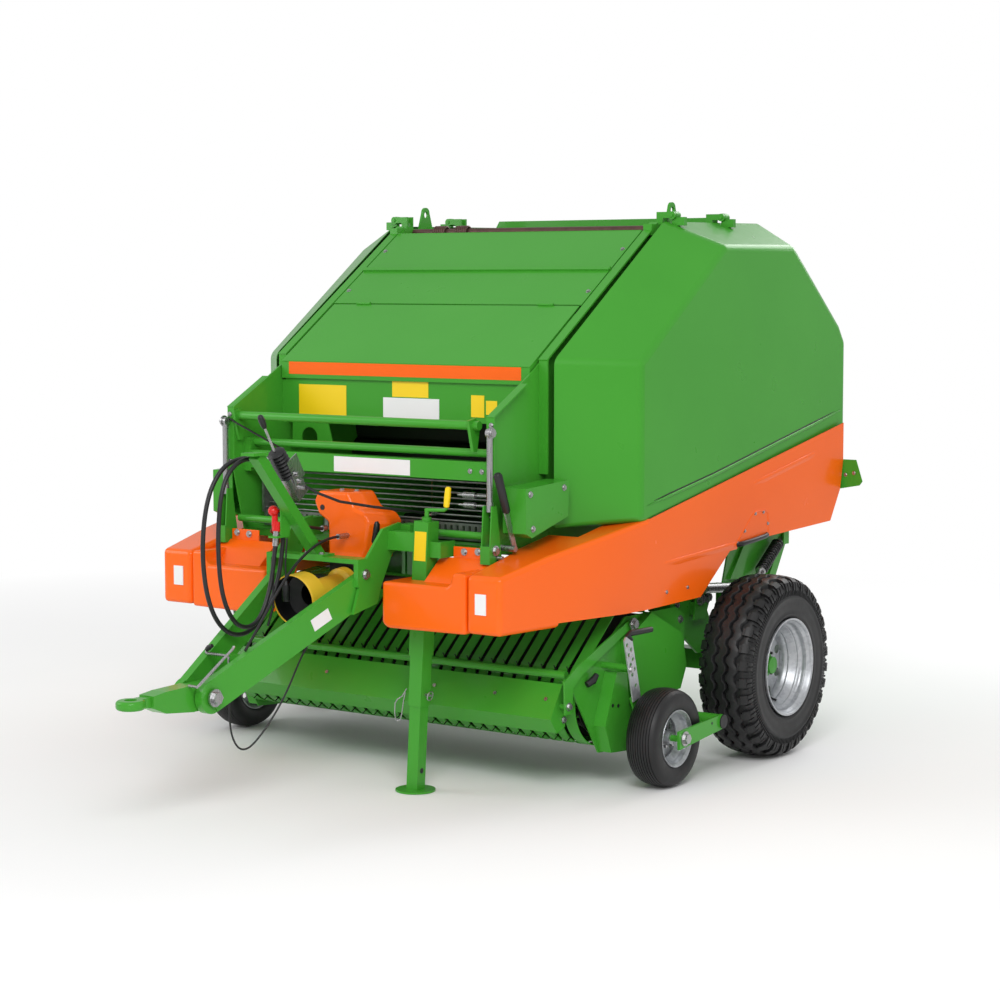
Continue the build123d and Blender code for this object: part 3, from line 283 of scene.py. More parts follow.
# two parts of the frame stand in the dark of the chamber: the front sheet takes a darker copy of the green
# paint as painted shade, and the grille a steel look of its own
OWN_LOOKS = {"chamber_front": "dark_green", "grille": "wire_steel"}
for node_name, node in NODES.items():
    entry = next(part for part in frame["record"]["subparts"] if part["node"] == node_name)
    node.data.materials.clear()
    node.data.materials.append(LOOKS[OWN_LOOKS.get(node_name, entry["material_slot"])])
print("finishes:", ", ".join(LOOKS))

# %% [markdown]
# ## Floor
# A plain pale floor. Close to the machine it is a real surface that takes its shadow. Farther out
# it fades into the plain white of the backdrop, for the rays that look at it and not for the light
# that falls on the machine.

# %% Floor and sky
FLOOR_HALF = 60.0
FADE_FROM, FADE_OVER = 3.2, 4.0
floor_mesh = bpy.data.meshes.new("floor")
corners = [(-1, -1), (1, -1), (1, 1), (-1, 1)]
floor_mesh.from_pydata([(x * FLOOR_HALF, y * FLOOR_HALF, -0.001) for x, y in corners], [], [(0, 1, 2, 3)])
floor = bpy.data.objects.new("floor", floor_mesh)
scene.collection.objects.link(floor)
floor_look = Finish("floor", Roughness=0.9)
floor_look.feed(Base_Color=floor_look.blend(floor_look.noise(0.6), rgba(0.955, 0.955, 0.955),
                                            rgba(0.97, 0.97, 0.97)))
sight = floor_look.node("ShaderNodeLightPath", out="Is Camera Ray")
distance = floor_look.node("ShaderNodeVectorMath", {"operation": "LENGTH"}, {0: floor_look.place()},
                           out="Value")
far = ((distance - FADE_FROM) * (1.0 / FADE_OVER)).clamp()
white = floor_look.node("ShaderNodeEmission", values={"Color": (1, 1, 1, 1), "Strength": 1.0})
mixed = floor_look.node("ShaderNodeMixShader", values={
    0: far * sight, 1: Wire(floor_look, floor_look.shader.outputs[0]), 2: white})
floor_look.join(mixed, floor_look.output.inputs[0])
floor_mesh.materials.append(floor_look.material)

SKY = 0.62
world = bpy.data.worlds.new("studio")
scene.world = world
world.use_nodes = True
sky = Graph(world.node_tree)
seen = sky.node("ShaderNodeMath", {"operation": "MAXIMUM"}, {
    0: sky.node("ShaderNodeLightPath", out="Is Camera Ray"),
    1: sky.node("ShaderNodeLightPath", out="Is Transmission Ray")})
even, bright = (sky.node("ShaderNodeBackground", values={"Color": (1, 1, 1, 1), "Strength": strength})
                for strength in (SKY, 1.0))
both = sky.node("ShaderNodeMixShader", values={0: seen, 1: even, 2: bright})
sky.join(both, sky.tree.nodes.new("ShaderNodeOutputWorld").inputs[0])
print("floor and sky ready")

# %% [markdown]
# ## Shapes
# The pieces that the frame leaves plain are made from a few simple solids. A Shape gathers them
# into one mesh, and build() turns it into a piece: normals out, edges rounded if the real thing is
# moulded or rolled, and tied to the body it moves with. What stands on both sides of the machine
# is written down for the left side, and the Shape mirrors it for the right.

# %% The Shape class
def regular(radius, corners):
    """The corners of a regular outline."""
    turns = [2 * math.pi * k / corners for k in range(corners)]
    return [(radius * math.cos(a), radius * math.sin(a)) for a in turns]


class Shape:
    """Solids gathered into one mesh. side is -1 where the points are mirrored to the right side."""

    def __init__(self, side=1):
        self.bm = bmesh.new()
        self.side = side

    def place(self, point):
        """A point as it is written down, on this Shape's side."""
        x, y, z = point
        return (self.side * x, y, z)

    def face(self, points):
        """One flat face."""
        self.bm.faces.new([self.bm.verts.new(self.place(point)) for point in points])

    def _span(self, rings, caps):
        rows = [[self.bm.verts.new(point) for point in ring] for ring in rings]
        for low, high in zip(rows, rows[1:]):
            for i in range(len(low)):
                j = (i + 1) % len(low)
                self.bm.faces.new((low[i], low[j], high[j], high[i]))
        if caps:
            self.bm.faces.new(rows[0][::-1])
            self.bm.faces.new(rows[-1])

    def skin(self, rings, caps=True):
        """Faces between rings of points, with a cap on each end."""
        self._span([[self.place(point) for point in ring] for ring in rings], caps)

    def prism(self, outline, axis, low, high):
        """An outline in the plane across an axis, from low to high along it."""
        at = "XYZ".index(axis)
        self.skin([[(*point[:at], value, *point[at:]) for point in outline] for value in (low, high)])

    def box(self, x_span, y_span, z_span):
        """A box between three pairs of limits."""
        (y0, y1), (z0, z1) = y_span, z_span
        self.prism([(y0, z0), (y1, z0), (y1, z1), (y0, z1)], "X", *x_span)

    def wire(self, points, radius, sides=8):
        """A round wire or bar through points. radius is one number, or one for each point."""
        points = [Vector(self.place(point)) for point in points]
        radii = radius if isinstance(radius, (list, tuple)) else [radius] * len(points)
        turn = (points[1] - points[0]).to_track_quat("Z", "Y")
        rings = []
        for i, point in enumerate(points):
            ahead = points[min(i + 1, len(points) - 1)] - points[max(i - 1, 0)]
            turn = (turn @ Vector((0, 0, 1))).rotation_difference(ahead) @ turn
            rings.append([point + turn @ Vector((x, y, 0)) for x, y in regular(radii[i], sides)])
        self._span(rings, caps=True)

    def lathe(self, profile, centre, steps):
        """(radius, X) pairs turned about the cross axis through centre, as a closed ring."""
        rings = [[(x, centre[0] + r * along, centre[1] + r * up) for r, x in profile]
                 for along, up in regular(1.0, steps)]
        self.skin(rings + rings[:1], caps=False)


def made(name, shape, look, inside=None, sharp=32.0):
    """The mesh that a Shape has become. inside is a point that the faces look away from."""
    bm = shape.bm
    bmesh.ops.remove_doubles(bm, verts=bm.verts, dist=2e-5)
    bmesh.ops.recalc_face_normals(bm, faces=bm.faces)
    if inside is not None:
        core = Vector(shape.place(inside))
        outward = sum((f.calc_center_median() - core).dot(f.normal) * f.calc_area() for f in bm.faces)
        if outward < 0:
            bmesh.ops.reverse_faces(bm, faces=bm.faces)
    mesh = bpy.data.meshes.new(name)
    bm.to_mesh(mesh)
    bm.free()
    mesh.materials.append(LOOKS[look])
    mesh.shade_smooth()
    mesh.set_sharp_from_angle(angle=math.radians(sharp))
    return mesh


def hand_over(name, mesh, body, slot, bevel=0.0, wall=0.0, replaces=(), limit=20.0, clamp=True):
    """The piece that shows a mesh. bevel rounds its edges and wall thickens an open shell inwards."""
    piece = bpy.data.objects.new(name, mesh)
    scene.collection.objects.link(piece)
    if bevel:
        rounding = piece.modifiers.new("rounding", "BEVEL")
        rounding.width = bevel
        rounding.segments = 4
        rounding.limit_method = "ANGLE"
        rounding.angle_limit = math.radians(limit)
        rounding.use_clamp_overlap = clamp
    if wall:
        thickness = piece.modifiers.new("wall", "SOLIDIFY")
        thickness.thickness = wall
        thickness.offset = -1.0
        thickness.use_even_offset = True
    if bevel:
        even = piece.modifiers.new("even shading", "WEIGHTED_NORMAL")
        even.keep_sharp = True
    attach(piece, body)
    if replaces:
        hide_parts(*replaces)


def build(name, shape, look, body, slot=None, inside=None, sharp=32.0, **options):
    """The piece that a Shape has become. Its slot argument is not used."""
    hand_over(name, made(name, shape, look, inside, sharp), body, slot or look, **options)


def bars(name, look, body, *runs, side=1, **options):
    """A piece of round bars. A run is its points, its radius or radii, and its number of sides."""
    shape = Shape(side)
    for run in runs:
        shape.wire(*run)
    build(name, shape, look, body, **options)


print("shape helpers ready")

# %% [markdown]
# ## Hoses and cables
# Each hose and cable hangs free between its clamp or gland and its far end. The curve takes the
# same route as the solid tube of the frame, and the frame's couplers, caps and glands stay on it.

# %% Hoses and cables
HOSE_OUTER = (
    (-0.068, -1.262, 1.425), (-0.068, -1.332, 1.425), (-0.082, -1.412, 1.379), (-0.09, -1.48, 1.262),
    (-0.092, -1.508, 1.06), (-0.09, -1.478, 0.85), (-0.084, -1.392, 0.722), (-0.078, -1.27, 0.69),
    (-0.07, -1.155, 0.755), (-0.058, -1.085, 0.885), (-0.051, -1.06, 1.01), (-0.05, -1.052, 1.1),
)
HOSE_INNER = (
    (-0.038, -1.262, 1.425), (-0.038, -1.318, 1.425), (-0.041, -1.382, 1.391), (-0.043, -1.427, 1.333),
    (-0.045, -1.452, 1.233), (-0.046, -1.462, 1.06), (-0.047, -1.44, 0.88), (-0.048, -1.375, 0.765),
    (-0.05, -1.29, 0.725), (-0.05, -1.207, 0.752), (-0.05, -1.148, 0.85), (-0.05, -1.118, 0.96),
    (-0.05, -1.105, 1.05),
)
CABLE_SPIRAL = (
    (0.036, -0.792, 1.067), (0.036, -0.85, 1.067), (0.038, -0.935, 1.05), (0.044, -1.033, 1.011),
    (0.052, -1.133, 0.953), (0.064, -1.23, 0.875), (0.078, -1.328, 0.789), (0.09, -1.405, 0.722),
    (0.098, -1.465, 0.672),
)
CABLE_LOOP = (
    (0.14, -1.085, 0.69), (0.112, -1.105, 0.64), (0.092, -1.14, 0.56), (0.076, -1.18, 0.47),
    (0.058, -1.235, 0.38), (0.04, -1.31, 0.295), (0.022, -1.365, 0.246), (0.008, -1.408, 0.25),
    (0.002, -1.44, 0.3), (0.001, -1.454, 0.365), (0.0, -1.452, 0.43), (0.0, -1.452, 0.5),
)
CORDS = (
    # node, route, radius, length, far end, stiffness, nodes on it
    ("hose_outer", HOSE_OUTER, 0.0095, 1.471, "connector", "stiff", ("hose_couplers", "coupler_caps")),
    ("hose_inner", HOSE_INNER, 0.0095, 1.277, "connector", "stiff", ("hose_couplers", "coupler_caps")),
    ("cable_spiral", CABLE_SPIRAL, 0.006, 0.803, "object", "medium", ("cable_glands",)),
    ("cable_loop", CABLE_LOOP, 0.004, 0.848, "object", "medium", ("cable_glands",)),
)
for node_name, route, radius, length, far_end, stiffness, on_it in CORDS:
    line = bpy.data.curves.new(node_name + "_run", "CURVE")
    line.dimensions = "3D"
    line.bevel_depth = radius
    line.bevel_resolution = 4
    line.resolution_u = 12
    line.use_fill_caps = True
    run = line.splines.new("NURBS")
    run.points.add(len(route) - 1)
    for point, place in zip(run.points, route):
        point.co = (*place, 1.0)
    run.order_u = 3
    run.use_endpoint_u = True
    line.materials.append(LOOKS["black_rubber"])
    cord = bpy.data.objects.new(node_name + "_run", line)
    scene.collection.objects.link(cord)
    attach(cord, "chassis")
    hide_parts(node_name)
    2 * radius
print("cords:", ", ".join(entry[0] for entry in CORDS))

# %% [markdown]
# ## Side covers
# Each gull-wing cover is one big pressing: a flat face, flat flanks that slope in to the hood, and
# soft creases of some two centimetres between them. A fine ridge runs along the lower part of its
# face, and a dark line above it is painted shade for the groove over the ridge.

# %% Side covers
COVER_RIM = ((-0.25, 1.095), (-0.25, 1.814), (0.63, 2.413), (1.515, 2.422), (2.0, 2.03),
             (2.075, 1.86), (2.075, 1.47), (-0.2, 1.104))
COVER_FACE = ((0.02, 1.127), (0.02, 1.8), (0.732, 2.303), (1.373, 2.307), (1.851, 1.924),
              (1.908, 1.85), (1.908, 1.43), (0.066, 1.112))
COVER_HINGES = (0.69, 1.135)
LIP = ((0.06, 1.194), (0.24, 1.224), (0.64, 1.29), (1.6, 1.472), (1.89, 1.53))
for side, name in SIDES:
    cover = f"side_cover_{name}"
    face = [(1.04, y, z) for y, z in COVER_FACE]
    shell = Shape(side)
    shell.skin([[(0.77, y, z) for y, z in COVER_RIM], face], caps=False)
    shell.face(face)
    build(f"cover_shell_{name}", shell, "green_paint", cover, bevel=0.022, wall=0.006,
          inside=(0.8, 0.9, 1.7), replaces=[cover])
    bars(f"cover_lip_{name}", "green_paint", cover,
         ([(1.0415, y, z - 0.008) for y, z in LIP], (0.0005, 0.006, 0.007, 0.007, 0.0005), 12), side=side)
    # a thin dark wire set just inside the face above the ridge is painted shade for the groove's shadow
    bars(f"cover_groove_{name}", "dark_paint", cover,
         ([(1.0385, y, z) for y, z in LIP], (0.0005, 0.0042, 0.0045, 0.0045, 0.0005)), side=side)
    trim = Shape(side)
    for y in COVER_HINGES:
        trim.wire([(0.792, y - 0.012, 2.442), (0.792, y + 0.012, 2.442)], 0.019, 20)
        trim.box((0.786, 0.85), (y - 0.012, y + 0.012), (2.396, 2.434))
    build(f"cover_hinges_{name}", trim, "green_paint", cover)
print("side covers: one shell and one set of hinges on each side")

# %% [markdown]
# ## Orange mouldings
# The long skirts hang on the side covers, and the two front fenders stay on the machine. All are
# thin mouldings with rounded edges, open behind.

# %% Skirts
SKIRT_PLAN = ((0.92, -0.86), (1.048, 0.06), (1.062, 1.9))
SKIRT_TOP = ((-0.86, 0.958), (-0.545, 1.025), (-0.262, 1.0719), (0.06, 1.1266), (0.66, 1.236),
             (1.275, 1.348), (1.862, 1.455))
SKIRT_FOOT = ((1.862, 1.27), (1.832, 1.13), (1.735, 0.983), (1.096, 0.961), (0.893, 0.956),
              (0.76, 0.925), (0.505, 0.744), (0.06, 0.738), (-0.09, 0.735), (-0.51, 0.7215),
              (-0.64, 0.7215), (-0.86, 0.721))
FOLD_Y = SKIRT_PLAN[1][1]
SEAM_X, CUT_X = 0.753, 0.9
NOSE_X, NOSE_Y, NOSE_LOW, NOSE_TOP = 0.92, -0.86, 0.721, 0.958
# the underside is full width as far as WIDE_Y and ends in a point at POINT_Y
WIDE_Y, POINT_Y, UNDER_Z = -0.64, -0.51, 0.7215


def skirt_x(y):
    """How far out the skirt's wall stands at y."""
    (x0, y0), (x1, y1) = SKIRT_PLAN[:2] if y <= FOLD_Y else SKIRT_PLAN[1:]
    return x0 + (x1 - x0) * (y - y0) / (y1 - y0)


CREASES = (
    # (Y, Z) points along each ridge of the skirt
    ((0.2, 0.93), (0.3, 0.935), (0.7, 0.956), (0.83, 0.962)),
    ((0.98, 1.224), (1.08, 1.243), (1.47, 1.313), (1.57, 1.33)),
)
CREASE_HIGH, CREASE_WIDE = 0.0045, 0.034
for side, name in SIDES:
    skirt = Shape(side)
    outline = SKIRT_TOP + SKIRT_FOOT
    for part in ([p for p in outline if p[0] <= FOLD_Y], [p for p in outline if p[0] >= FOLD_Y]):
        skirt.face([(skirt_x(y), y, z) for y, z in part])
    for (y0, z0), (y1, z1), inner in zip(SKIRT_TOP[:3], SKIRT_TOP[1:4], (SEAM_X, SEAM_X, CUT_X)):
        rear = [(inner, y1, z1)]
        if inner == SEAM_X and y1 > -0.3:
            rear = [(CUT_X, y1, z1), (SEAM_X, y1, z1)]
        skirt.face([(inner, y0, z0), (skirt_x(y0), y0, z0), (skirt_x(y1), y1, z1), *rear])
    low_in, low_out = (SEAM_X, NOSE_Y, NOSE_LOW), (NOSE_X, NOSE_Y, NOSE_LOW)
    top_in, top_out = (SEAM_X, NOSE_Y, NOSE_TOP), (NOSE_X, NOSE_Y, NOSE_TOP)
    wide_in, wide_out = (SEAM_X, WIDE_Y, UNDER_Z), (skirt_x(WIDE_Y), WIDE_Y, UNDER_Z)
    skirt.face([low_in, low_out, top_out, top_in])
    skirt.face([low_in, low_out, wide_out, wide_in])
    skirt.face([wide_in, wide_out, (skirt_x(POINT_Y), POINT_Y, UNDER_Z)])
    skirt.face([low_in, wide_in, (SEAM_X, -0.545, 1.025), top_in])
    build(f"skirt_shell_{name}", skirt, "orange_plastic", f"side_cover_{name}", bevel=0.02, wall=0.006,
          inside=(0.85, -0.5, 0.85), replaces=[f"side_skirt_{name}"], clamp=False)
    creases = Shape(side)
    for run in CREASES:
        rings = []
        for k, (y, z) in enumerate(run):
            rise = CREASE_HIGH if 0 < k < len(run) - 1 else 0.0004
            section = ((0.004, -0.002), (0.0, rise), (-0.01, rise * 0.8), (-CREASE_WIDE, -0.002))
            rings.append([(skirt_x(y) + out, y, z + up) for up, out in section])
        creases.skin(rings)
    build(f"skirt_creases_{name}", creases, "orange_plastic", f"side_cover_{name}", sharp=60.0)
print("skirts ready")

# %% Fenders
FRONT_Y, BACK_Y = -0.86, -0.652
FENDER_EDGE = ((0.316, 0.729), (0.318, 0.905), (0.65, 0.905), (0.672, 0.925), (0.68, 0.965), (0.747, 0.962),
               (0.747, 0.715), (0.345, 0.71))
# the left fender's slot for the jack, open at the back
SLOT_LOW, SLOT_HIGH, SLOT_END = 0.37, 0.462, -0.748
for side, name in SIDES:
    fender = Shape(side)
    fender.face([(x, FRONT_Y, z) for x, z in FENDER_EDGE])
    for i, j in ((0, 1), (2, 3), (3, 4), (4, 5), (5, 6), (7, 0), (1, 2), (7, 6)):
        # the face that runs back from one edge of the front
        (x0, z0), (x1, z1) = FENDER_EDGE[i], FENDER_EDGE[j]
        corners = [(x0, FRONT_Y), (x1, FRONT_Y), (x1, BACK_Y), (x0, BACK_Y)]
        if side > 0 and x0 < SLOT_LOW and x1 > SLOT_HIGH:
            corners[3:3] = [(SLOT_HIGH, BACK_Y), (SLOT_HIGH, SLOT_END), (SLOT_LOW, SLOT_END),
                            (SLOT_LOW, BACK_Y)]
        rise = 0.0 if abs(x1 - x0) < 0.1 else (z1 - z0) / (x1 - x0)
        if rise == 0.0 and z0 != z1:
            fender.face([(x0, FRONT_Y, z0), (x1, FRONT_Y, z1), (x1, BACK_Y, z1), (x0, BACK_Y, z0)])
        else:
            fender.face([(x, y, z0 + (x - x0) * rise) for x, y in corners])
    build(f"fender_shell_{name}", fender, "orange_plastic", "chassis", bevel=0.02, wall=0.006,
          inside=(0.55, -0.75, 0.82), replaces=["front_fenders"] if side > 0 else ())
    ramp = Shape(side)
    ramp_start = SLOT_HIGH + 0.008 if side > 0 else 0.43
    ramp.prism([(-0.775, 0.902), (-0.653, 1.0), (-0.653, 0.902)], "X", ramp_start, 0.745)
    ramp.box((0.535, 0.694), (-0.652, -0.646), (0.88, 1.046))
    build(f"fender_ramp_{name}", ramp, "orange_plastic", "chassis", bevel=0.004)
print("fenders ready")

# %% [markdown]
# ## What repeats
# Treads, tines, studs and bolts are one small solid many times over. Two Geometry Nodes trees
# do that work. The ring tree turns a solid step by step about a cross axis. The spots tree puts
# it on every vertex of a mesh, turned and scaled by two attributes of that vertex.

# %% Geometry Nodes trees
class Grower(Graph):
    """A Geometry Nodes tree that stands a solid on points and gives the result one finish."""

    def __init__(self, name, **inputs):
        super().__init__(bpy.data.node_groups.new(name, "GeometryNodeTree"))
        self.tree.is_modifier = True
        inputs = {"Geometry": "Geometry", "Solid": "Object", "Look": "Material", **inputs}
        sockets = self.tree.interface
        for label, kind in inputs.items():
            sockets.new_socket(label, in_out="INPUT", socket_type="NodeSocket" + kind)
        sockets.new_socket("Geometry", in_out="OUTPUT", socket_type="NodeSocketGeometry")
        start = self.tree.nodes.new("NodeGroupInput")
        self.given = {label: Wire(self, start.outputs[label]) for label in inputs}

    def end(self, points, **turned):
        """Instance on Points, Realize Instances, Merge by Distance, Set Material, and out."""
        solid = self.node("GeometryNodeObjectInfo", values={"Object": self.given["Solid"]}, out="Geometry")
        spread = self.node("GeometryNodeInstanceOnPoints",
                           values={"Points": points, "Instance": solid, **turned})
        real = self.node("GeometryNodeRealizeInstances", values={"Geometry": spread})
        merged = self.node("GeometryNodeMergeByDistance", values={"Geometry": real, "Distance": 2e-5})
        dressed = self.node("GeometryNodeSetMaterial",
                            values={"Geometry": merged, "Material": self.given["Look"]})
        self.join(dressed, self.tree.nodes.new("NodeGroupOutput").inputs["Geometry"])
        return self.tree


def ring_tree():
    """Count copies of the solid at the centre, each turned one step more about the cross axis."""
    ring = Grower("ring", Count="Int", Centre="Vector")
    line = ring.node("GeometryNodeMeshLine", values={
        "Offset": (0, 0, 0), "Count": ring.given["Count"], "Start Location": ring.given["Centre"]})
    angle = ring.node("GeometryNodeInputIndex") * (2 * math.pi / ring.given["Count"])
    return ring.end(line, Rotation=ring.node("ShaderNodeCombineXYZ", values={"X": angle}))


def spots_tree():
    """The solid on each vertex of the mesh, by the vertex's own turn and size."""
    spots = Grower("spots")
    turn, size = (spots.node("GeometryNodeInputNamedAttribute", {"data_type": "FLOAT_VECTOR"},
                             {"Name": label}, out="Attribute") for label in ("turn", "size"))
    return spots.end(spots.given["Geometry"], Rotation=turn, Scale=size)


RING, SPOTS = ring_tree(), spots_tree()


def grown(name, tree, carrier_mesh, solid_mesh, look, sharp=32.0, **values):
    """The plain mesh that a tree makes, with its helpers cleared away again."""
    carrier = bpy.data.objects.new(name + "_carrier", carrier_mesh)
    solid = bpy.data.objects.new(name + "_solid", solid_mesh)
    scene.collection.objects.link(carrier)
    scene.collection.objects.link(solid)
    steps = carrier.modifiers.new("grow", "NODES")
    steps.node_group = tree
    values.update(Solid=solid, Look=LOOKS[look])
    for entry in tree.interface.items_tree:
        if entry.in_out == "INPUT" and entry.name in values:
            steps[entry.identifier] = values[entry.name]
    graph = bpy.context.evaluated_depsgraph_get()
    graph.update()
    mesh = bpy.data.meshes.new_from_object(carrier.evaluated_get(graph))
    bpy.data.objects.remove(carrier)
    bpy.data.objects.remove(solid)
    mesh.name = name
    mesh.shade_smooth()
    mesh.set_sharp_from_angle(angle=math.radians(sharp))
    return mesh


def ringed(name, solid, look, centre, count, sharp=32.0):
    """A ring of a Shape about the cross axis through centre."""
    empty = bpy.data.meshes.new(name + "_empty")
    return grown(name, RING, empty, made(name, solid, look, sharp=sharp), look, sharp,
                 Count=count, Centre=centre)


def spotted(name, solid, look, spots, sharp=32.0):
    """A Shape on each spot. A spot is (place, direction its +Z points in, size)."""
    seed = bpy.data.meshes.new(name + "_spots")
    seed.from_pydata([place for place, axis, size in spots], [], [])
    turn = seed.attributes.new("turn", "FLOAT_VECTOR", "POINT")
    size_of = seed.attributes.new("size", "FLOAT_VECTOR", "POINT")
    for i, (place, axis, size) in enumerate(spots):
        turn.data[i].vector = Vector(axis).to_track_quat("Z", "Y").to_euler()
        size_of.data[i].vector = (size, size, size)
    return grown(name, SPOTS, seed, made(name, solid, look, sharp=sharp), look, sharp)


print("trees:", RING.name, SPOTS.name)

# %% [markdown]
# ## Main tyres
# The carcass is a plain ring whose tread surface lies at the bottom of the grooves. The tread
# stands on it, one pitch made and then repeated 32 times: three zigzag ribs in the middle, notched
# blocks on both shoulders, and fine ribs that run down the shoulders.

# %% Main tyres
WHEEL_Y, WHEEL_R, WHEEL_MID = 0.83, 0.411, 1.2
PITCHES = 32
CARCASS = ((0.207, 0.098), (0.217, 0.113), (0.226, 0.122), (0.232, 0.125), (0.238, 0.129),
           (0.243, 0.129), (0.248, 0.1265), (0.262, 0.1285), (0.29, 0.1305), (0.306, 0.13),
           (0.3115, 0.133), (0.319, 0.133), (0.324, 0.1295), (0.34, 0.1275), (0.358, 0.1235),
           (0.372, 0.116), (0.381, 0.1075), (0.386, 0.097), (0.388, 0.085), (0.389, 0.06), (0.389, 0.03))
SHOULDER_RIB = ((0.1195, 0.371), (0.1225, 0.383), (0.1275, 0.369), (0.1302, 0.35), (0.128, 0.345))
SHOULDER_STEP = ((0.108, 0.381), (0.1085, 0.3905), (0.1185, 0.3825), (0.1245, 0.368), (0.1225, 0.362))
SIDE_RIB = ((0.127, 0.347), (0.1309, 0.347), (0.1328, 0.326), (0.131, 0.324))
ZIGZAG = ((0.0, -1), (0.18, -1), (0.42, 1), (0.68, 1), (0.92, -1), (1.0, -1))


def on_wheel(x, radius, degrees):
    """A point of a wheel that stands at the origin, its angle measured from the top."""
    angle = math.radians(degrees)
    return (x, -radius * math.sin(angle), radius * math.cos(angle))


def crest(x):
    """The radius of the tread at x from the wheel's middle."""
    return WHEEL_R - 0.0155 * (abs(x) / 0.115) ** 3


def tread_pitch():
    """One pitch of the main tyre's tread."""
    pitch = Shape()
    step = 360.0 / PITCHES
    for middle in (-0.054, 0.0, 0.054):
        rings = []
        for share, way in ZIGZAG:
            low, high = (middle + way * 0.008 + edge for edge in (-0.018, 0.018))
            section = ((low - 0.004, 0.386), (low, crest(low) - 0.0018), (low + 0.002, crest(low)),
                       (high - 0.002, crest(high)), (high, crest(high) - 0.0018), (high + 0.004, 0.386))
            rings.append([on_wheel(px, r, share * step) for px, r in section])
        pitch.skin(rings, caps=False)
    for way in (1, -1):
        for low, high, section in (
            # from and to degrees, (X, radius) of the section
            (0.4, 6.3, ((0.095, 0.376), (0.093, 0.4025), (0.11, 0.3965), (0.121, 0.385), (0.119, 0.368))),
            (1.6, 6.3, ((0.083, 0.376), (0.0815, 0.4055), (0.0925, 0.4027), (0.0945, 0.376))),
            (0.7, 3.0, SHOULDER_RIB),
            (4.1, 6.2, SHOULDER_RIB),
            (7.6, 8.9, SHOULDER_STEP),
        ):
            pitch.skin([[on_wheel(way * x, r, at) for x, r in section] for at in (low, high)])
        for at in (0.8, 3.0, 5.2, 7.6, 9.9):
            pitch.skin([[on_wheel(way * x, r, a) for x, r in SIDE_RIB] for a in (at - 0.35, at + 0.35)])
    return pitch


for side, name in SIDES:
    centre = (side * WHEEL_MID, WHEEL_Y, WHEEL_R)
    half = [(r, WHEEL_MID + x) for r, x in CARCASS]
    other = [(r, WHEEL_MID - x) for r, x in CARCASS[::-1]]
    carcass = Shape(side)
    carcass.lathe(half + other, (WHEEL_Y, WHEEL_R), 144)
    build(f"tyre_carcass_{name}", carcass, "tyre", f"main_wheel_{name}", sharp=50.0,
          replaces=[f"tyre_{name}"])
    tread = ringed(f"tyre_tread_{name}", tread_pitch(), "tyre", centre, PITCHES, sharp=40.0)
    hand_over(f"tyre_tread_{name}", tread, f"main_wheel_{name}", "tyre")
    print(f"tread {name}: {len(tread.polygons)} faces")

# %% [markdown]
# ## Gauge wheels' tyres
# They are small ribbed tyres: nine thin grooves run around a round tread.

# %% Gauge tyres
GAUGE_Y, GAUGE_R, GAUGE_MID = -0.017, 0.211, 1.179
GAUGE_WALL = ((0.112, 0.052), (0.118, 0.0585), (0.123, 0.063), (0.127, 0.0685), (0.131, 0.07),
              (0.133, 0.0712), (0.15, 0.0745), (0.166, 0.075), (0.18, 0.0738), (0.19, 0.07), (0.1975, 0.064))
GROOVES, GROOVE_DEEP = 9, 0.0038


def crown(x):
    """The radius of the gauge tyre's tread at x from its middle."""
    return GAUGE_R - 0.0105 * (abs(x) / 0.06) ** 2.2


for side, name in SIDES:
    tread = []
    for k in range(GROOVES):
        x = (k - (GROOVES - 1) / 2) * 0.0122
        tread += [(crown(x - 0.0018), x - 0.0018), (crown(x) - GROOVE_DEEP, x - 0.0012),
                  (crown(x) - GROOVE_DEEP, x + 0.0012), (crown(x + 0.0018), x + 0.0018)]
    profile = [(r, -x) for r, x in GAUGE_WALL] + tread + [(r, x) for r, x in GAUGE_WALL[::-1]]
    small = Shape(side)
    small.lathe([(r, GAUGE_MID + x) for r, x in profile], (GAUGE_Y, GAUGE_R), 96)
    build(f"gauge_tyre_shell_{name}", small, "tyre", f"gauge_wheel_{name}", sharp=35.0,
          replaces=[f"gauge_tyre_{name}"])
print("gauge tyres:", GROOVES, "grooves each")

# %% [markdown]
# ## Rims
# The outer half of each main rim is a smooth dish with three rolled steps. Around the hub stand
# dark studs with nuts, and a valve comes out between them.

# %% Rims, studs and nuts
DISH = ((0.219, 0.1302), (0.2184, 0.1325), (0.216, 0.1329), (0.2125, 0.1305), (0.2098, 0.125),
        (0.208, 0.115), (0.204, 0.1085), (0.2005, 0.105), (0.199, 0.099), (0.199, 0.091), (0.1975, 0.084),
        (0.193, 0.0785), (0.188, 0.0745), (0.1862, 0.069), (0.186, 0.062), (0.1832, 0.055), (0.1782, 0.05),
        (0.1745, 0.045), (0.1728, 0.037), (0.168, 0.027), (0.162, 0.019), (0.158, 0.006), (0.158, -0.007))
SMALL_DISH = ((0.122, 0.0682), (0.1212, 0.07), (0.1186, 0.0694), (0.116, 0.064), (0.1085, 0.06),
              (0.106, 0.056), (0.106, 0.038), (0.101, 0.03), (0.094, 0.021), (0.085, 0.011))


def stud():
    """A stud with its nut, along +X from a wheel's disc."""
    piece = Shape()
    piece.prism(regular(0.0125, 6), "X", 0.0, 0.012)
    piece.wire([(0.011, 0, 0), (0.03, 0, 0)], 0.0065, 8)
    return piece


def moved(shape, offset, side):
    """A Shape shifted, and mirrored for the right side."""
    for vert in shape.bm.verts:
        vert.co = Vector((side * (vert.co.x + offset[0]), vert.co.y + offset[1], vert.co.z + offset[2]))
    return shape


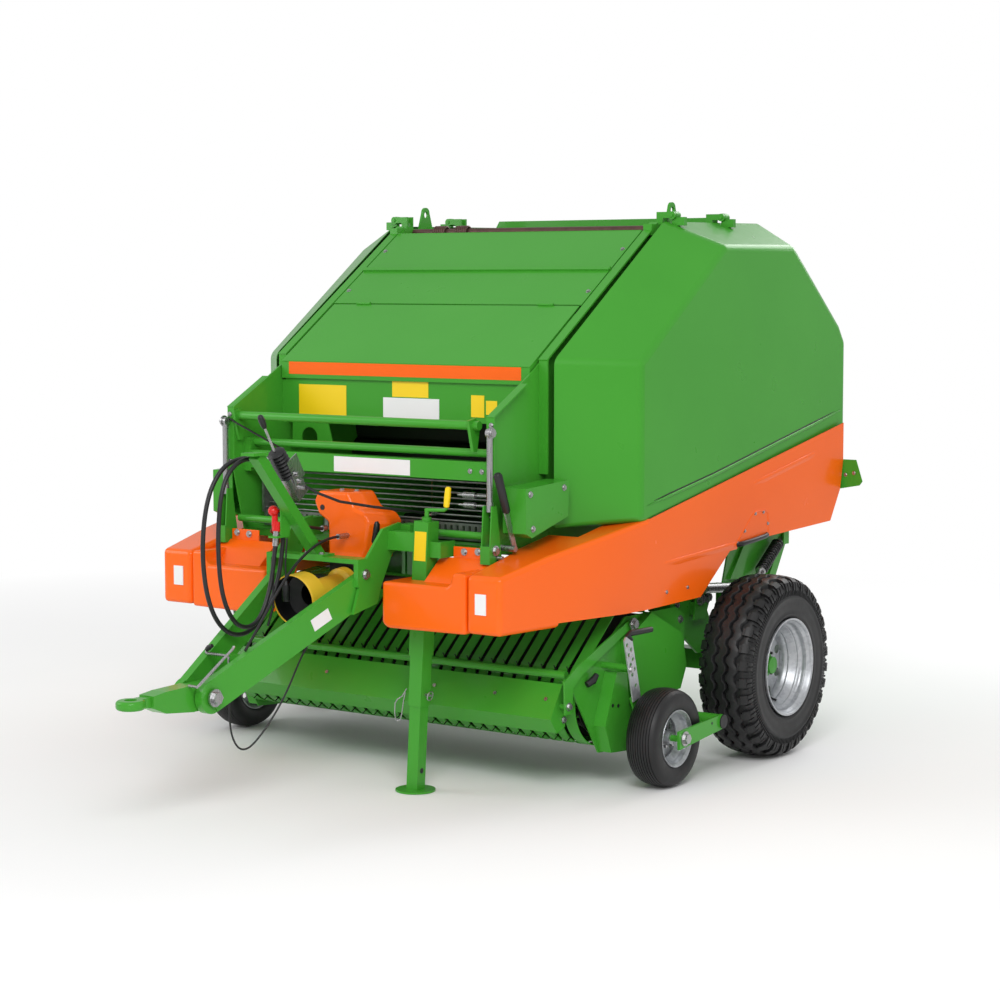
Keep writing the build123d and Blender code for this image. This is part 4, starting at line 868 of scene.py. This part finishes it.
for side, name in SIDES:
    for label, points, middle, centre, body, thick in (
        ("rim_dish", DISH, WHEEL_MID, (WHEEL_Y, WHEEL_R), "main_wheel", 0.0025),
        ("gauge_dish", SMALL_DISH, GAUGE_MID, (GAUGE_Y, GAUGE_R), "gauge_wheel", 0.0012),
    ):
        dish = Shape(side)
        back = [(r + thick, x) for r, x in points[::-1]]
        dish.lathe([(r, middle + x) for r, x in list(points) + back], centre, 96)
        build(f"{label}_{name}", dish, "galvanised_steel", f"{body}_{name}", sharp=60.0)
    for label, count, radius, centre, out, body, look in (
        ("hub_studs", 8, 0.0655, (side * WHEEL_MID, WHEEL_Y, WHEEL_R), -0.016, "main_wheel", "dark_paint"),
        ("gauge_nuts", 5, 0.042, (side * GAUGE_MID, GAUGE_Y, GAUGE_R), 0.0, "gauge_wheel", "bare_steel"),
    ):
        nuts = ringed(f"{label}_{name}", moved(stud(), (out, 0.0, radius), side), look, centre, count)
        hand_over(f"{label}_{name}", nuts, f"{body}_{name}", look)
    bars(f"valve_{name}", "black_rubber", f"main_wheel_{name}",
         (((WHEEL_MID - 0.008, WHEEL_Y + 0.03, WHEEL_R - 0.15),
           (WHEEL_MID + 0.045, WHEEL_Y + 0.033, WHEEL_R - 0.165)), 0.0045, 10), side=side)
print("rims: dishes, studs and valves")

# %% [markdown]
# ## Pickup tines
# Twenty-nine bands leave twenty-eight gaps, and in each gap a sprung tine stands on each of the
# four bars of the reel. Every tine is a coil on its bar and a finger that leans back.

# %% Tines
REEL_Y, REEL_Z, BAR_R, BARS = -0.15, 0.37, 0.132, 4
BANDS, BAND_SPAN = 29, 0.944
tine = Shape()
tine.wire([(-0.009, 0, 0), (0.009, 0, 0)], 0.0205, 8)
tine.wire([(0.004, -0.014, 0.006), (0.001, -0.019, 0.045), (0, -0.006, 0.094)], [0.0034, 0.0031, 0.0022], 5)
spots = []
for bar in range(BARS):
    angle = math.radians(45 + 360 * bar / BARS)
    out = Vector((0, math.cos(angle), math.sin(angle)))
    for gap in range(1, BANDS):
        x = -BAND_SPAN + gap * 2 * BAND_SPAN / BANDS
        spots.append(((x, REEL_Y + BAR_R * out.y, REEL_Z + BAR_R * out.z), tuple(out), 1.0))
tines = spotted("tines", tine, "dark_paint", spots)
hand_over("tines", tines, "pickup_reel", "dark_paint")
print("tines:", len(spots), "faces:", len(tines.polygons))

# %% [markdown]
# ## Top of the machine
# A brown cross shaft with two coil springs lies open behind the hood's upper edge, and a rolled
# bead marks the hood's rib.

# %% Shaft and bead
def helix(start, end, radius, turns, points=14):
    """Points of a coil around the line between two points."""
    start, end = Vector(start), Vector(end)
    turn = (end - start).to_track_quat("Z", "Y")
    steps = turns * points
    return [start.lerp(end, k / steps) + turn @ Vector((radius * math.cos(2 * math.pi * k / points),
                                                          radius * math.sin(2 * math.pi * k / points), 0))
            for k in range(steps + 1)]


SHAFT_Y, SHAFT_Z = 0.7, 2.38
springs = [(helix((x, SHAFT_Y, SHAFT_Z), (x + 0.07, SHAFT_Y, SHAFT_Z), 0.0275, 6), 0.0062, 8)
           for x in (-0.56, -0.43)]
bars("shaft_run", "shaft_brown", "chassis", (((-0.7, SHAFT_Y, SHAFT_Z), (0.7, SHAFT_Y, SHAFT_Z)), 0.019, 32),
     *springs, slot="dark_paint", sharp=60.0, replaces=["top_shaft"])
bars("hood_bead", "green_paint", "chassis", (((-0.696, 0.304, 2.201), (0.696, 0.304, 2.201)), 0.0065, 12))
print("shaft with two springs, and the bead")

# %% [markdown]
# ## Plates, stripe and reflectors
# The yellow and white plates carry nothing here: they are thin blank sheets. The orange stripe
# runs along the lip of the hood's lid, and a reflector sits on the front of each skirt.

# %% Plates
PANEL_Y = (-0.2996, -0.2982)
REFLECTOR = ((0.798, 0.852), (-0.8635, -0.8602), (0.804, 0.889))
PLATES = (
    # piece, finish, slot, body, side, boxes of X, Y and Z limits
    ("plates_yellow", "yellow_plate", "yellow_plastic", "chassis", 1, (
        ((-0.594, -0.319), PANEL_Y, (1.543, 1.681)), ((-0.058, 0.141), PANEL_Y, (1.638, 1.708)),
        ((0.372, 0.441), PANEL_Y, (1.562, 1.657)), ((0.451, 0.509), PANEL_Y, (1.575, 1.635)))),
    ("plates_white", "white_plate", "galvanised_steel", "chassis", 1, (
        ((-0.109, 0.2), PANEL_Y, (1.543, 1.634)), ((-0.173, 0.244), (-0.5672, -0.5662), (1.321, 1.387)))),
    ("lid_stripe", "orange_plastic", "orange_plastic", "hood_lid", 1, (
        ((-0.642, 0.642), (-0.3122, -0.3112), (1.7265, 1.7835)),)),
    ("reflector_left", "white_plate", "galvanised_steel", "side_cover_left", 1, (REFLECTOR,)),
    ("reflector_right", "white_plate", "galvanised_steel", "side_cover_right", -1, (REFLECTOR,)),
)
for label, look, slot, body, side, boxes in PLATES:
    plates = Shape(side)
    for limits in boxes:
        plates.box(*limits)
    build(label, plates, look, body, slot)

JACK_X, JACK_Y, JACK_LEAN = 0.371, -0.702, 63 / 1150


def on_jack(z, x=0.0, y=0.0):
    """A point beside the leaning jack's centre line at the height z."""
    return (JACK_X + z * JACK_LEAN + x, JACK_Y + y, z)


jack_plate = Shape()
corners = ((-0.03, 0.985), (0.03, 0.985), (0.03, 1.108), (-0.03, 1.108))
jack_plate.prism([(on_jack(z)[0] + x, z) for x, z in corners], "Y", JACK_Y - 0.0385, JACK_Y - 0.0372)
build("plate_jack", jack_plate, "yellow_plate", "chassis", "yellow_plastic")

ARM_FOOT, ARM_HEAD = Vector((0.062, -1.64, 0.505)), Vector((0.226, -0.86, 0.88))
ARM_OUT = Vector((0.78, -0.164, 0.0)).normalized()
ARM_RUN = (ARM_HEAD - ARM_FOOT).normalized()
type_plate = Shape()
low = [ARM_FOOT + ARM_RUN * run + ARM_RUN.cross(ARM_OUT) * -rise + ARM_OUT * 0.0168
       for run, rise in ((0.56, -0.03), (0.66, -0.03), (0.66, 0.022), (0.56, 0.022))]
type_plate.skin([low, [point + ARM_OUT * 0.0016 for point in low]])
build("plate_type", type_plate, "white_plate", "chassis", "galvanised_steel")
print("plates:", len(PLATES) + 2, "pieces, all blank")

# %% [markdown]
# ## Gearbox cover and drive shaft guard
# The cover over the gearbox is a rounded moulding whose right front corner is cut off, with a
# grip slot in the cut whose opening is painted black as shade. The drive shaft guard is yellow outside and
# black inside.

# %% Gearbox cover
COVER_RINGS = (
    # Y of the ring, and how far each of the right-hand points stands out in X
    (-0.735, (0.112, 0.134, 0.146, 0.122, 0.066, 0.034)),
    (-0.655, (0.15, 0.172, 0.206, 0.176, 0.096, 0.05)),
    (-0.566, (0.15, 0.172, 0.206, 0.176, 0.096, 0.05)),
)
COVER_RIGHT_Z = (0.962, 1.03, 1.128, 1.163, 1.186, 1.25)
COVER_LEFT = ((-0.128, 1.25), (-0.15, 1.205), (-0.125, 1.15), (-0.072, 1.118), (-0.07, 0.962))
hump = Shape()
hump.skin([[(x, y, z) for x, z in zip(rights, COVER_RIGHT_Z)] + [(x, y, z) for x, z in COVER_LEFT]
           for y, rights in COVER_RINGS])
build("gearbox_hump", hump, "orange_plastic", "chassis", bevel=0.014, sharp=80.0, limit=14.0,
      replaces=["gearbox_cover"])
# the black capsule in the cut is painted shade for the grip slot's opening
bars("gearbox_hump_slot", "black_plastic", "chassis",
     (((0.148, -0.7, 1.036), (0.152, -0.699, 1.044), (0.1605, -0.697, 1.085), (0.164, -0.697, 1.12),
       (0.164, -0.698, 1.132)), (0.008, 0.015, 0.0165, 0.015, 0.008), 14),
     (((-0.1, -0.737, 1.18), (-0.1, -0.73, 1.18)), 0.012, 12))

GUARD_FOOT, GUARD_TILT = Vector((0.0, -0.706, 0.857)), math.radians(6.1)
GUARD_AHEAD = Vector((0.0, -math.cos(GUARD_TILT), -math.sin(GUARD_TILT)))
GUARD_UP = Vector((0.0, -math.sin(GUARD_TILT), math.cos(GUARD_TILT)))


def bell(profile, steps=64):
    """(radius, distance from the gearbox) pairs turned about the guard's drooping axis."""
    rings = []
    for across, up in regular(1.0, steps):
        out = Vector((across, 0.0, 0.0)) + GUARD_UP * up
        rings.append([GUARD_FOOT + GUARD_AHEAD * run + out * r for r, run in profile])
    shape = Shape()
    shape.skin(rings + rings[:1], caps=False)
    return shape


LINING = ((0.1042, 0.3455), (0.1002, 0.263), (0.049, 0.237), (0.049, 0.06), (0.047, 0.06), (0.047, 0.2385),
          (0.0985, 0.2645), (0.1025, 0.3455))
MOUTH = ((0.104, 0.3455), (0.1048, 0.349), (0.1085, 0.349), (0.11, 0.3455), (0.1098, 0.338),
         (0.1085, 0.338))
build("guard_lining", bell(LINING), "black_plastic", "chassis")
build("guard_lip", bell(MOUTH), "yellow_plastic", "chassis")
bars("lamp_plug", "black_plastic", "chassis",
     (((-0.022, -1.062, 1.08), (-0.016, -1.08, 0.98), (-0.016, -1.078, 0.9)), 0.004, 8),
     (((-0.016, -1.078, 0.905), (-0.016, -1.078, 0.888), (-0.016, -1.078, 0.884), (-0.016, -1.077, 0.826),
       (-0.016, -1.077, 0.818)), (0.008, 0.013, 0.017, 0.017, 0.013), 14))
print("gearbox cover, guard lining and lamp plug")

# %% [markdown]
# ## Levers, jack and pins
# The control lever stands in a ribbed bellows on a grey valve. The brake lever is a flat steel
# strip with a black grip, the jack's crank is green with a yellow grip, and bent steel pins lock
# the tongue.

# %% Levers and jack
def flat_bar(shape, start, end, wide, thick):
    """A flat bar between two points in a Y-Z plane: wide in that plane, thick across it."""
    start, end = Vector(start), Vector(end)
    over = (end - start).normalized().cross(Vector((1, 0, 0))) * (wide / 2)
    ring = [start + over, end + over, end - over, start - over]
    shape.skin([[p + Vector((x, 0, 0)) for p in ring] for x in (-thick / 2, thick / 2)])


RIBS = 8
steps = range(2 * RIBS + 1)
top, foot = Vector((0, -1.157, 1.449)), Vector((0, -1.076, 1.343))
stations = [top.lerp(foot, k / (2 * RIBS)) for k in steps]
radii = [(0.027 if k % 2 == 0 else 0.0385) + 0.005 * k / (2 * RIBS) for k in steps]
bars("lever_bellows", "black_rubber", "chassis", (stations, radii, 20),
     (((0, -1.221, 1.549), (0, -1.228, 1.561), (0, -1.24, 1.582), (0, -1.249, 1.597), (0, -1.252, 1.602)),
      (0.009, 0.013, 0.0145, 0.012, 0.006), 14), sharp=50.0, replaces=["control_valve"])
valve_body = Shape()
flat_bar(valve_body, (0, -1.08, 1.347), (0, -1.012, 1.258), 0.074, 0.062)
flat_bar(valve_body, (0.037, -1.1, 1.42), (0.037, -1.045, 1.33), 0.07, 0.005)
valve_body.wire([(0, -1.162, 1.451), (0, -1.225, 1.556)], 0.0055, 10)
for y, z in ((-1.068, 1.352), (-1.046, 1.322), (-1.024, 1.293)):
    valve_body.wire([(0.028, y, z), (0.052, y, z)], 0.011, 12)
    valve_body.wire([(-0.028, y - 0.02, z - 0.02), (-0.05, y - 0.02, z - 0.02)], 0.01, 12)
build("lever_valve", valve_body, "bare_steel", "chassis")

brake = Shape()
flat_bar(brake, (0.79, -0.57, 1.042), (0.79, -0.64, 1.225), 0.028, 0.006)
brake.wire([(0.7005, -0.586, 1.046), (0.806, -0.586, 1.046)], 0.013, 16)
brake.wire([(0.745, -0.64, 1.01), (0.78, -0.64, 1.01)], 0.009, 12)
build("brake_strip", brake, "bare_steel", "chassis", replaces=["brake_lever"])
bars("brake_grip", "black_rubber", "chassis",
     (((0.79, -0.628, 1.198), (0.79, -0.631, 1.206), (0.79, -0.662, 1.284), (0.79, -0.69, 1.354),
       (0.79, -0.694, 1.364)), (0.013, 0.0175, 0.018, 0.019, 0.013), 14))

bars("crank_arm", "green_paint", "chassis", ((on_jack(1.16), on_jack(1.2)), 0.01, 12),
     ((on_jack(1.196, -0.008), (0.527, JACK_Y, 1.2), (0.536, JACK_Y, 1.2065), (0.5375, JACK_Y, 1.222)),
      0.0075, 10), replaces=["jack_crank"])
bars("crank_grip", "yellow_plate", "chassis",
     (((0.537, JACK_Y, 1.212), (0.5372, JACK_Y, 1.216), (0.542, JACK_Y, 1.256), (0.5465, JACK_Y, 1.292),
       (0.547, JACK_Y, 1.298)), (0.009, 0.0125, 0.014, 0.0125, 0.007), 14), slot="yellow_plastic")

ring_at = Vector(on_jack(0.412, 0.056))
pull_ring = [ring_at + Vector((0.004 * math.sin(a), 0.019 * math.cos(a), 0.019 * math.sin(a)))
             for a in [2 * math.pi * k / 14 for k in range(15)]]
CHAIN = ((-0.04, 0.44), (-0.062, 0.405), (-0.086, 0.39), (-0.098, 0.372), (-0.098, 0.332), (-0.092, 0.305),
         (-0.083, 0.297), (-0.067, 0.302), (-0.06, 0.332), (-0.053, 0.39), (-0.046, 0.422))
bars("jack_pin", "bare_steel", "jack_leg", ((on_jack(0.414, -0.042), on_jack(0.415, 0.066)), 0.0065, 10),
     (pull_ring, 0.0026, 6), ([on_jack(z, x, -0.038) for x, z in CHAIN], 0.0024, 6))
# a black disc on the leg is painted shade for the inside of the pin hole
bars("jack_hole", "black_plastic", "jack_leg", ((on_jack(0.088, 0.027), on_jack(0.088, 0.0288)), 0.012, 16))

bars("tongue_pins", "bare_steel", "chassis",
     (((-0.078, -1.5, 0.668), (-0.08, -1.5, 0.655), (-0.076, -1.5, 0.65), (0.031, -1.5, 0.649),
       (0.04, -1.5, 0.642), (0.042, -1.5, 0.6)), 0.006, 10),
     (((0.08, -1.512, 0.693), (0.081, -1.518, 0.685), (0.084, -1.72, 0.568), (0.082, -1.732, 0.56),
       (0.04, -1.734, 0.562)), 0.006, 10),
     (((0.02, -1.56, 0.558), (0.02, -1.56, 0.585)), 0.016, 16))
bars("pin_tip", "black_rubber", "chassis",
     (((-0.078, -1.5, 0.664), (-0.066, -1.5, 0.674), (-0.047, -1.5, 0.684)), (0.009, 0.0115, 0.008), 12))
print("levers, jack and pins")

# %% [markdown]
# ## Springs, pipes and couplings
# A coil spring and a cylinder stand above each main wheel, and short pipes run from the valve to
# the frame. Only the cords above hang free: these pipes are clipped down.

# %% Springs and pipes
for side, name in SIDES:
    x = side * 0.99
    bars(f"side_spring_{name}", "black_plastic", "chassis",
         (helix((x, 1.172, 0.793), (x, 1.338, 0.909), 0.0255, 13), 0.0052, 6), sharp=60.0)
    bars(f"side_rods_{name}", "bare_steel", "chassis",
         (((x, 1.12, 0.757), (x, 1.363, 0.926)), 0.014, 16),
         (((x, 1.15, 0.778), (x, 1.16, 0.785), (x, 1.172, 0.793), (x, 1.178, 0.797)),
          (0.014, 0.024, 0.024, 0.014), 18),
         (((x, 0.64, 0.764), (x, 0.93, 0.738)), 0.0235, 24),
         (((x, 0.92, 0.739), (x, 1.124, 0.757)), 0.009, 12),
         (((x, 0.89, 0.741), (x, 0.925, 0.7382)), 0.0255, 24), replaces=["side_springs"] if side > 0 else ())

PIPES = (
    # radius, route
    (0.0075, ((-0.04, -1.05, 1.3), (-0.075, -1.02, 1.275), (-0.11, -0.96, 1.215), (-0.12, -0.9, 1.15),
              (-0.105, -0.84, 1.105), (-0.09, -0.76, 1.09), (-0.09, -0.728, 1.09))),
    (0.0075, ((-0.045, -1.03, 1.15), (-0.1, -1.01, 1.13), (-0.19, -0.95, 1.11), (-0.29, -0.85, 1.075),
              (-0.35, -0.74, 1.04), (-0.36, -0.62, 1.02), (-0.36, -0.555, 1.02))),
    (0.006, ((0.05, -1.03, 1.3), (0.085, -0.99, 1.27), (0.13, -0.9, 1.23), (0.2, -0.76, 1.2),
             (0.27, -0.64, 1.18), (0.3, -0.56, 1.165), (0.3, -0.48, 1.16))),
    (0.0055, ((-0.062, -1.068, 1.09), (-0.066, -1.09, 1.0), (-0.06, -1.11, 0.9), (-0.05, -1.12, 0.8),
              (-0.055, -1.15, 0.72))),
)
runs = [(route, radius, 10) for radius, route in PIPES]
bars("clipped_pipes", "black_rubber", "chassis", *runs, sharp=60.0)
FERRULES = (
    # radius, ends
    (0.0125, ((-0.068, -1.268, 1.425), (-0.068, -1.236, 1.425))),
    (0.0125, ((-0.038, -1.268, 1.425), (-0.038, -1.236, 1.425))),
    (0.013, ((-0.09, -0.752, 1.09), (-0.09, -0.724, 1.09))),
    (0.012, ((0.036, -0.8, 1.067), (0.036, -0.735, 1.067))),
    (0.011, ((0.3, -0.5, 1.16), (0.3, -0.455, 1.158))),
    (0.014, ((0.48, -0.5, 1.246), (0.54, -0.5, 1.246))),
    (0.0065, ((0.45, -0.5, 1.246), (0.6, -0.5, 1.246))),
    (0.013, ((0.485, -0.5, 1.204), (0.54, -0.5, 1.204))),
    (0.006, ((0.455, -0.5, 1.204), (0.6, -0.5, 1.204))),
)
bars("ferrules", "bare_steel", "chassis", *((ends, radius, 14) for radius, ends in FERRULES))

BALL_R = 0.023
turns = [math.pi * k / 8 for k in range(1, 8)]
bars("red_couplings", "red_plastic", "chassis",
     ([(-0.062, -1.1 - BALL_R * math.cos(a), 1.196) for a in turns],
      [BALL_R * math.sin(a) for a in turns], 16),
     (((-0.054, -1.09, 1.19), (-0.05, -1.05, 1.205), (-0.046, -1.034, 1.185), (-0.046, -1.036, 1.13),
       (-0.046, -1.048, 1.105)), 0.0065, 8),
     (((-0.06, -1.094, 1.18), (-0.058, -1.096, 1.14), (-0.056, -1.094, 1.105)), (0.012, 0.014, 0.012), 12))
bars("front_rod", "black_plastic", "chassis",
     (((-0.712, -0.64, 1.536), (-0.66, -0.645, 1.515), (-0.492, -0.6, 1.43), (-0.47, -0.566, 1.405)),
      0.0045, 8))
print("springs, pipes and couplings")

# %% [markdown]
# ## Handles and small parts of the skirts and pickup
# Each skirt has a black grab handle under a shallow pocket. On the pickup, a rubber grip tops the
# hole plate that sets the gauge wheel, and a black cap closes the cross tube.

# %% Handles, grips and caps
POCKET = ((0.8, 0.945), (0.826, 0.962), (0.967, 1.073), (0.992, 1.088), (1.085, 1.086), (1.112, 1.07),
          (1.116, 0.985))
HANDLE = ((1.048, 0.828, 0.948), (1.06, 0.842, 0.95), (1.067, 0.87, 0.953), (1.068, 0.96, 0.959),
          (1.067, 1.062, 0.967), (1.061, 1.094, 0.97), (1.05, 1.108, 0.972))
for side, name in SIDES:
    bars(f"grab_handle_{name}", "black_plastic", f"side_cover_{name}", (HANDLE, 0.0115, 14), side=side,
         replaces=[f"skirt_handle_{name}"])
    bars(f"skirt_pocket_{name}", "orange_plastic", f"side_cover_{name}",
         ([(skirt_x(y) - 0.0006, y, z) for y, z in POCKET], 0.0034), side=side)
    bars(f"pickup_grip_{name}", "black_rubber", "pickup",
         (((1.2875, 0.3, 0.24), (1.2935, 0.3, 0.24)), 0.03, 28),
         (((1.099, -0.15, 0.64), (1.101, -0.186, 0.662), (1.101, -0.16, 0.668), (1.101, 0.003, 0.664)),
          (0.008, 0.012, 0.0135, 0.0125), 14),
         (((1.0195, -0.172, 0.352), (1.0212, -0.172, 0.352)), 0.0085, 12),
         (((1.0195, -0.128, 0.345), (1.0212, -0.128, 0.345)), 0.0085, 12),
         (((1.2835, 0.212, 0.245), (1.2848, 0.212, 0.245)), 0.0065, 12), side=side)
    bars(f"guard_stop_{name}", "black_rubber", "wind_guard",
         (((0.972, -0.3, 0.455), (0.984, -0.27, 0.47), (0.986, -0.246, 0.492)), (0.014, 0.017, 0.012), 12),
         side=side)
print("handles, grips and caps")

# %% [markdown]
# ## Bolts
# One hexagon bolt with its washer is scattered over each body: a table gives where it sits, the
# way it points, and its size as a multiple of a head that is 20 mm across its corners.

# %% Bolts
def bolt():
    """A hexagon head on a washer, along +Z."""
    piece = Shape()
    piece.prism(regular(0.014, 16), "Z", -0.001, 0.0022)
    piece.prism(regular(0.0098, 6), "Z", 0.0022, 0.0088)
    return piece


UP, AHEAD = (0, 0, 1), (0, -1, 0)
HOOD_OUT = (0, -0.5555, 0.8315)
GUARD_OUT = (0, -0.8304, 0.5572)
BOLTS = {
    # body: (X, Y, Z, direction, size)
    "chassis": [(0.04, -0.912, 1.0045, UP, 0.9), (-0.04, -0.912, 1.0045, UP, 0.9),
                (0.02, -0.65, 1.25, UP, 0.9), (-0.06, -0.65, 1.25, UP, 0.9)],
    "pickup": [], "wind_guard": [], "side_cover_left": [], "side_cover_right": [],
}
PAIRS = (
    # body, X, Y, Z, direction, size, on both sides
    ("chassis", 0.672, 0.442, 2.2874, HOOD_OUT, 0.8), ("chassis", 0.672, 0.162, 2.1003, HOOD_OUT, 0.8),
    ("chassis", 0.592, -0.6525, 1.026, AHEAD, 1.1), ("chassis", 0.662, -0.6525, 1.03, AHEAD, 1.1),
    ("chassis", 0.716, -0.6335, 1.345, AHEAD, 0.8), ("chassis", 0.716, -0.6335, 1.555, AHEAD, 0.8),
    ("chassis", 0.56, -0.5665, 1.355, AHEAD, 0.8), ("chassis", 0.62, -0.5665, 1.355, AHEAD, 0.8),
    ("wind_guard", 0.3, -0.4675, 0.4075, GUARD_OUT, 0.9),
    ("wind_guard", 0.62, -0.4675, 0.4075, GUARD_OUT, 0.9),
    ("wind_guard", 0.88, -0.4675, 0.4075, GUARD_OUT, 0.9),
)
SIDEWAYS = (
    # body, X, Y, Z, size, on both sides and pointing away from the machine
    ("chassis", 0.8602, -0.31, 1.283, 1.0), ("chassis", 0.8602, -0.56, 1.272, 1.0),
    ("chassis", 0.8602, -0.54, 1.128, 1.0), ("chassis", 0.0922, -1.64, 0.505, 2.6),
    ("chassis", 0.2502, -0.69, 1.07, 1.9), ("chassis", 0.2502, -0.88, 0.93, 1.6),
    ("chassis", 0.7302, -0.655, 1.525, 1.8), ("chassis", 0.7482, -0.65, 1.04, 1.6),
    ("chassis", 0.9302, 0.5, 0.7, 1.3), ("chassis", 0.9632, 0.65, 0.712, 2.2),
    ("chassis", 0.9632, 0.718, 0.713, 1.9),
    ("pickup", 0.9602, 0.244, 0.664, 1.3), ("pickup", 0.9602, 0.48, 0.64, 1.3),
    ("pickup", 1.2845, -0.018, 0.215, 2.3), ("pickup", 1.1022, -0.16, 0.512, 1.2),
    ("wind_guard", 0.985, 0.047, 0.672, 2.0), ("wind_guard", 0.9352, -0.42, 0.32, 1.1),
    ("wind_guard", 0.9742, -0.44, 0.382, 1.3),
)
SCREWS = ((0.829, 0.958), (0.894, 1.006), (0.992, 1.078), (1.067, 1.08), (1.11, 1.023), (0.215, 0.798),
          (0.391, 0.8))
for side, name in SIDES:
    cover_bolts = BOLTS[f"side_cover_{name}"]
    for body, x, y, z, axis, size in PAIRS:
        BOLTS[body].append((side * x, y, z, axis, size))
    for body, x, y, z, size in SIDEWAYS:
        BOLTS[body].append((side * x, y, z, (side, 0, 0), size))
    for y, z in SCREWS:
        cover_bolts.append((side * skirt_x(y), y, z, (side, 0, 0), 0.62))
    for x, z in ((1.075, 1.2), (1.12, 1.21)):
        cover_bolts.append((side * x, 1.8638, z, AHEAD, 0.7))
for body, entries in BOLTS.items():
    spots = [((x, y, z), axis, size) for x, y, z, axis, size in entries]
    hand_over(f"bolts_{body}", spotted(f"bolts_{body}", bolt(), "bare_steel", spots), body, "bare_steel")
print("bolts:", sum(len(entries) for entries in BOLTS.values()))
